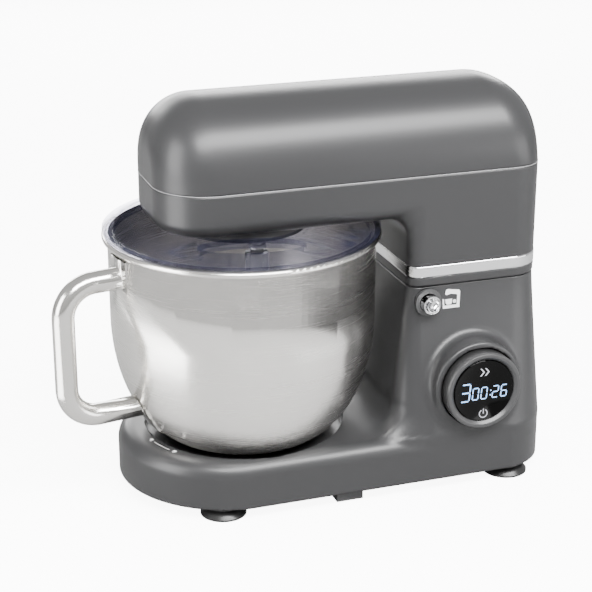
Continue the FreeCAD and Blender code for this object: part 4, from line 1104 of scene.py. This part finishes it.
@dataclass
class TiltSign(Part):
    """The printed pictogram of a tilted head beside the release button."""

    centre_x: float = 168.0
    centre_z: float = 167.5
    relief: float = 0.15

    def build(self) -> None:
        """Prints the pictogram on the tower's wall."""
        wall = -float(Housing.half_width(self.centre_z))
        up = Vector((0.0, Housing.side_slope(self.centre_z), 1.0)).normalized()
        origin = Vector((self.centre_x, wall - 0.02, self.centre_z))
        mount(slab("tilt_sign", self.shapes(), origin, RIGHT, up, self.relief), "stand", PRINT)

    @staticmethod
    def shapes() -> list[Outline]:
        """The tilted head, tower, base, front post, bowl and knob."""
        head = [(-5.6, 4.4), (-4.6, 8.0), (-3.0, 8.7), (7.4, 7.2), (8.6, 5.8), (8.2, 1.6), (6.0, 1.4),
                (5.2, 3.4), (-0.6, 4.4), (-4.2, 3.4)]
        tower = [(5.6, 1.7), (8.2, 1.8), (7.4, -5.8), (4.8, -5.8)]
        base = [(-8.2, -5.6), (7.4, -5.6), (7.4, -8.2), (-8.2, -8.2)]
        post = [(-8.2, 0.2), (-6.8, 0.2), (-6.8, -5.8), (-8.2, -5.8)]
        bowl = [(-5.8, -0.2), (0.8, -0.2), (0.2, -4.2), (-1.2, -5.0), (-4.0, -5.0), (-5.2, -4.2)]
        return [head, tower, base, post, bowl, arc_strip(1.1, 1.0, 0, 359.9, (3.0, -2.6), 14)]


@dataclass
class LockSigns(Part):
    """The printed lock signs on the base's top, in front of the bowl."""

    level: float = 52.5
    reach: float = 92.2
    line_radius: float = 94.1
    relief: float = 0.12

    def build(self) -> None:
        """Prints an open lock, a line and a closed lock."""
        shapes = self.padlock(194.0, 1.4) + self.padlock(213.5, 0.0)
        shapes.append(arc_strip(self.line_radius, 0.5, 197.5, 210.0))
        origin = Vector((0, 0, self.level))
        mount(slab("lock_signs", shapes, origin, RIGHT, AWAY, self.relief), "stand", PRINT)

    def padlock(self, angle: float, shift: float) -> list[Outline]:
        """A padlock whose top points away from the bowl.

        Args:
            angle: Where it stands round the bowl, in degrees.
            shift: How far its bow stands aside, open, or 0 when it is closed.

        Returns:
            The outlines of its body and its bow.
        """
        turn = math.radians(angle)
        away, across = Vector((math.cos(turn), math.sin(turn))), Vector((-math.sin(turn), math.cos(turn)))
        base = away * self.reach
        body = [(-1.7, 0.0), (1.7, 0.0), (1.7, 2.4), (-1.7, 2.4)]
        bow = arc_strip(1.1, 0.5, 0, 180, (shift, 2.6), 10)
        return [[tuple(base + across * a + away * b) for a, b in shape] for shape in (body, bow)]


@dataclass
class SolidPieces(Part):
    """CAD solids shown as they are, by finish."""

    nodes: dict[Finish, list[str]]

    def build(self) -> None:
        """Dresses each solid."""
        for finish, names in self.nodes.items():
            for name in names:
                dress(name, finish)


STAND_PIECES = SolidPieces({
    BODY_PLASTIC: ["bottom_cover", "button_sleeve", "display_holder", "tower_deck", "encoder", "side_rests",
                   "latch_bracket"],
    CHROME: ["release_button"],
    RUBBER: [f"suction_foot_{end}_{side}" for end in ("front", "rear") for side in ("left", "right")]
            + ["cord_gland"],
    BLACK_GLASS: ["display_lens"],
    STEEL: ["hinge_pin", "hinge_bracket", "latch_slide", "button_spring", "bottom_screws",
            "bowl_seat_ring"],
    BOARD: ["power_board", "display_board"],
})
BOWL_PIECES = SolidPieces({
    BrushedSteel(centre_x=AXIS_X): ["bowl_shell"],
    POLISHED: ["bowl_handle", "bowl_foot_ring"],
})
HEAD_PIECES = SolidPieces({
    BODY_PLASTIC: ["hub_skirt", "motor_mount"],
    RUBBER: ["drive_belt"],
    CLEAR: ["lid"],
    CAST: ["gearbox_chassis", "gearbox_bridge", "motor_bracket"],
    STEEL: ["head_hinge_leaf", "latch_striker", "chassis_screws", "ring_gear"],
    BRONZE: ["carrier_bush", "brush_holders"],
    COPPER: ["motor_stator"],
})
DRIVE_PIECES = SolidPieces({
    CAST: ["planet_carrier", "flat_beater", "large_pulley", "motor_pulley"],
    STEEL: ["pulley_shaft", "intermediate_shaft", "pulley_pinion", "intermediate_pinion", "tool_shaft",
            "drive_pin", "planet_gear"],
    NYLON: ["intermediate_gear", "carrier_gear", "cooling_fan"],
    COPPER: ["motor_rotor"],
})


# ----- studio
@dataclass(frozen=True)
class SoftBox:
    """One rectangular light that faces the object; sizes in metres, angles in degrees."""

    name: str
    azimuth: float
    elevation: float
    distance: float
    width: float
    height: float
    watts: float


@dataclass
class Studio:
    """Pale floor, soft lights and the camera."""

    azimuth: float = -19.0
    elevation: float = 20.36
    distance: float = 1.3906
    lens: float = 98.55
    aim: Vector = field(default_factory=lambda: Vector((-0.0072, -0.0346, 0.1739)))
    sky: float = 0.65
    floor_half: float = 14.0
    boxes: tuple[SoftBox, ...] = (
        SoftBox("shoulder_box", 10.0, 51.5, 2.2, 2.6, 0.85, 210.0),
        SoftBox("left_box", -80.0, 12.0, 2.0, 1.0, 1.6, 60.0),
        SoftBox("right_box", 50.0, 2.0, 2.4, 1.9, 1.0, 34.0),
        SoftBox("rim_box", 168.0, 14.0, 2.6, 2.6, 0.5, 60.0),
    )
    card_turn: Pair = (-100.0, -60.0)
    card_reach: Pair = (330.0, 1300.0)
    card_glow: float = 6.0

    def direction(self, azimuth: float, elevation: float) -> Vector:
        """The unit vector from the object towards a viewer at these angles."""
        turn, rise = math.radians(azimuth), math.radians(elevation)
        return Vector((math.sin(turn) * math.cos(rise), -math.cos(turn) * math.cos(rise), math.sin(rise)))

    def floor(self) -> None:
        """Lays the floor: grey to the object, near white to the camera."""
        half = self.floor_half
        mesh = bpy.data.meshes.new("floor")
        corners = [(-half, -half, 0), (half, -half, 0), (half, half, 0), (-half, half, 0)]
        mesh.from_pydata(corners, [], [(0, 1, 2, 3)])
        floor = link("floor", mesh)
        shader = Shader("floor_paper")
        cloud = shader.noise(shader.place(), 3.0, 2.0)
        tone = shader.blend(cloud, (0.90, 0.90, 0.90), (0.93, 0.93, 0.93))
        paper = shader.surface(Base_Color=(0.30, 0.30, 0.30), Roughness=0.7)
        bright = shader.surface(Base_Color=tone, Roughness=0.7, Emission_Color=tone, Emission_Strength=9.0)
        seen = shader.node("ShaderNodeLightPath", output="Is Camera Ray")
        shown = shader.node("ShaderNodeMixShader", inputs={0: seen, 1: paper, 2: bright})
        mesh.materials.append(shader.close(shown))

    def card(self, name: str, steps: int = 12) -> None:
        """Lays a bright card on the floor that the camera doesn't see.

        Args:
            name: The card's name.
            steps: Stretches along its curve.
        """
        start, end = self.card_turn
        turns = [math.radians(start + (end - start) * step / steps) for step in range(steps + 1)]
        corners = [(reach * math.sin(turn), -reach * math.cos(turn), 0.8)
                   for reach in self.card_reach for turn in turns]
        faces = [[step, step + 1, step + steps + 2, step + steps + 1] for step in range(steps)]
        card = as_mesh(name, np.array(corners), faces)
        shader = Shader(name)
        lit = shader.surface(Base_Color=(0.5, 0.5, 0.5), Emission_Color=(1.0, 1.0, 1.0),
                             Emission_Strength=self.card_glow)
        card.data.materials.append(shader.close(lit))
        card.visible_camera = False

    def aimed(self, name: str, data: bpy.types.ID, towards: Vector, distance: float) -> Piece:
        """Places a light or a camera so that it faces the aim point.

        Args:
            name: The object's name.
            data: The light or the camera.
            towards: The unit vector from the aim point to it.
            distance: How far away it is, in metres.

        Returns:
            The placed object.
        """
        holder = bpy.data.objects.new(name, data)
        bpy.context.scene.collection.objects.link(holder)
        holder.location = self.aim + towards * distance
        holder.rotation_euler = towards.to_track_quat("Z", "Y").to_euler()
        return holder

    def light(self, soft_box: SoftBox) -> None:
        """Hangs one soft box.

        Args:
            soft_box: Its place, size and power.
        """
        lamp = bpy.data.lights.new(soft_box.name, "AREA")
        lamp.shape = "RECTANGLE"
        lamp.size, lamp.size_y = soft_box.width, soft_box.height
        lamp.energy = soft_box.watts
        towards = self.direction(soft_box.azimuth, soft_box.elevation)
        self.aimed(soft_box.name, lamp, towards, soft_box.distance)

    def build(self) -> None:
        """Sets up the world, the lights, the floor and the camera."""
        world = bpy.data.worlds.new("studio")
        world.use_nodes = True
        ground = world.node_tree.nodes["Background"]
        ground.inputs["Color"].default_value = (1.0, 1.0, 1.0, 1.0)
        ground.inputs["Strength"].default_value = self.sky
        bpy.context.scene.world = world
        self.floor()
        for soft_box in self.boxes:
            self.light(soft_box)
        self.card("left_card")
        camera = bpy.data.cameras.new("camera")
        camera.lens = self.lens
        camera.sensor_width = 36.0
        bpy.context.scene.camera = self.aimed("camera", camera, self.direction(self.azimuth, self.elevation),
                                              self.distance)
        LOG.info("studio ready")


def main() -> None:
    """Builds the studio and every sub-assembly around the frame."""
    Studio().build()
    for part in (Housing(), HeadCover(), HeadCasing(), Knob(), TiltSign(), LockSigns(), STAND_PIECES,
                 BOWL_PIECES, HEAD_PIECES, DRIVE_PIECES):
        part.build()
        LOG.info("%s built", type(part).__name__)


if __name__ == "__main__":
    main()
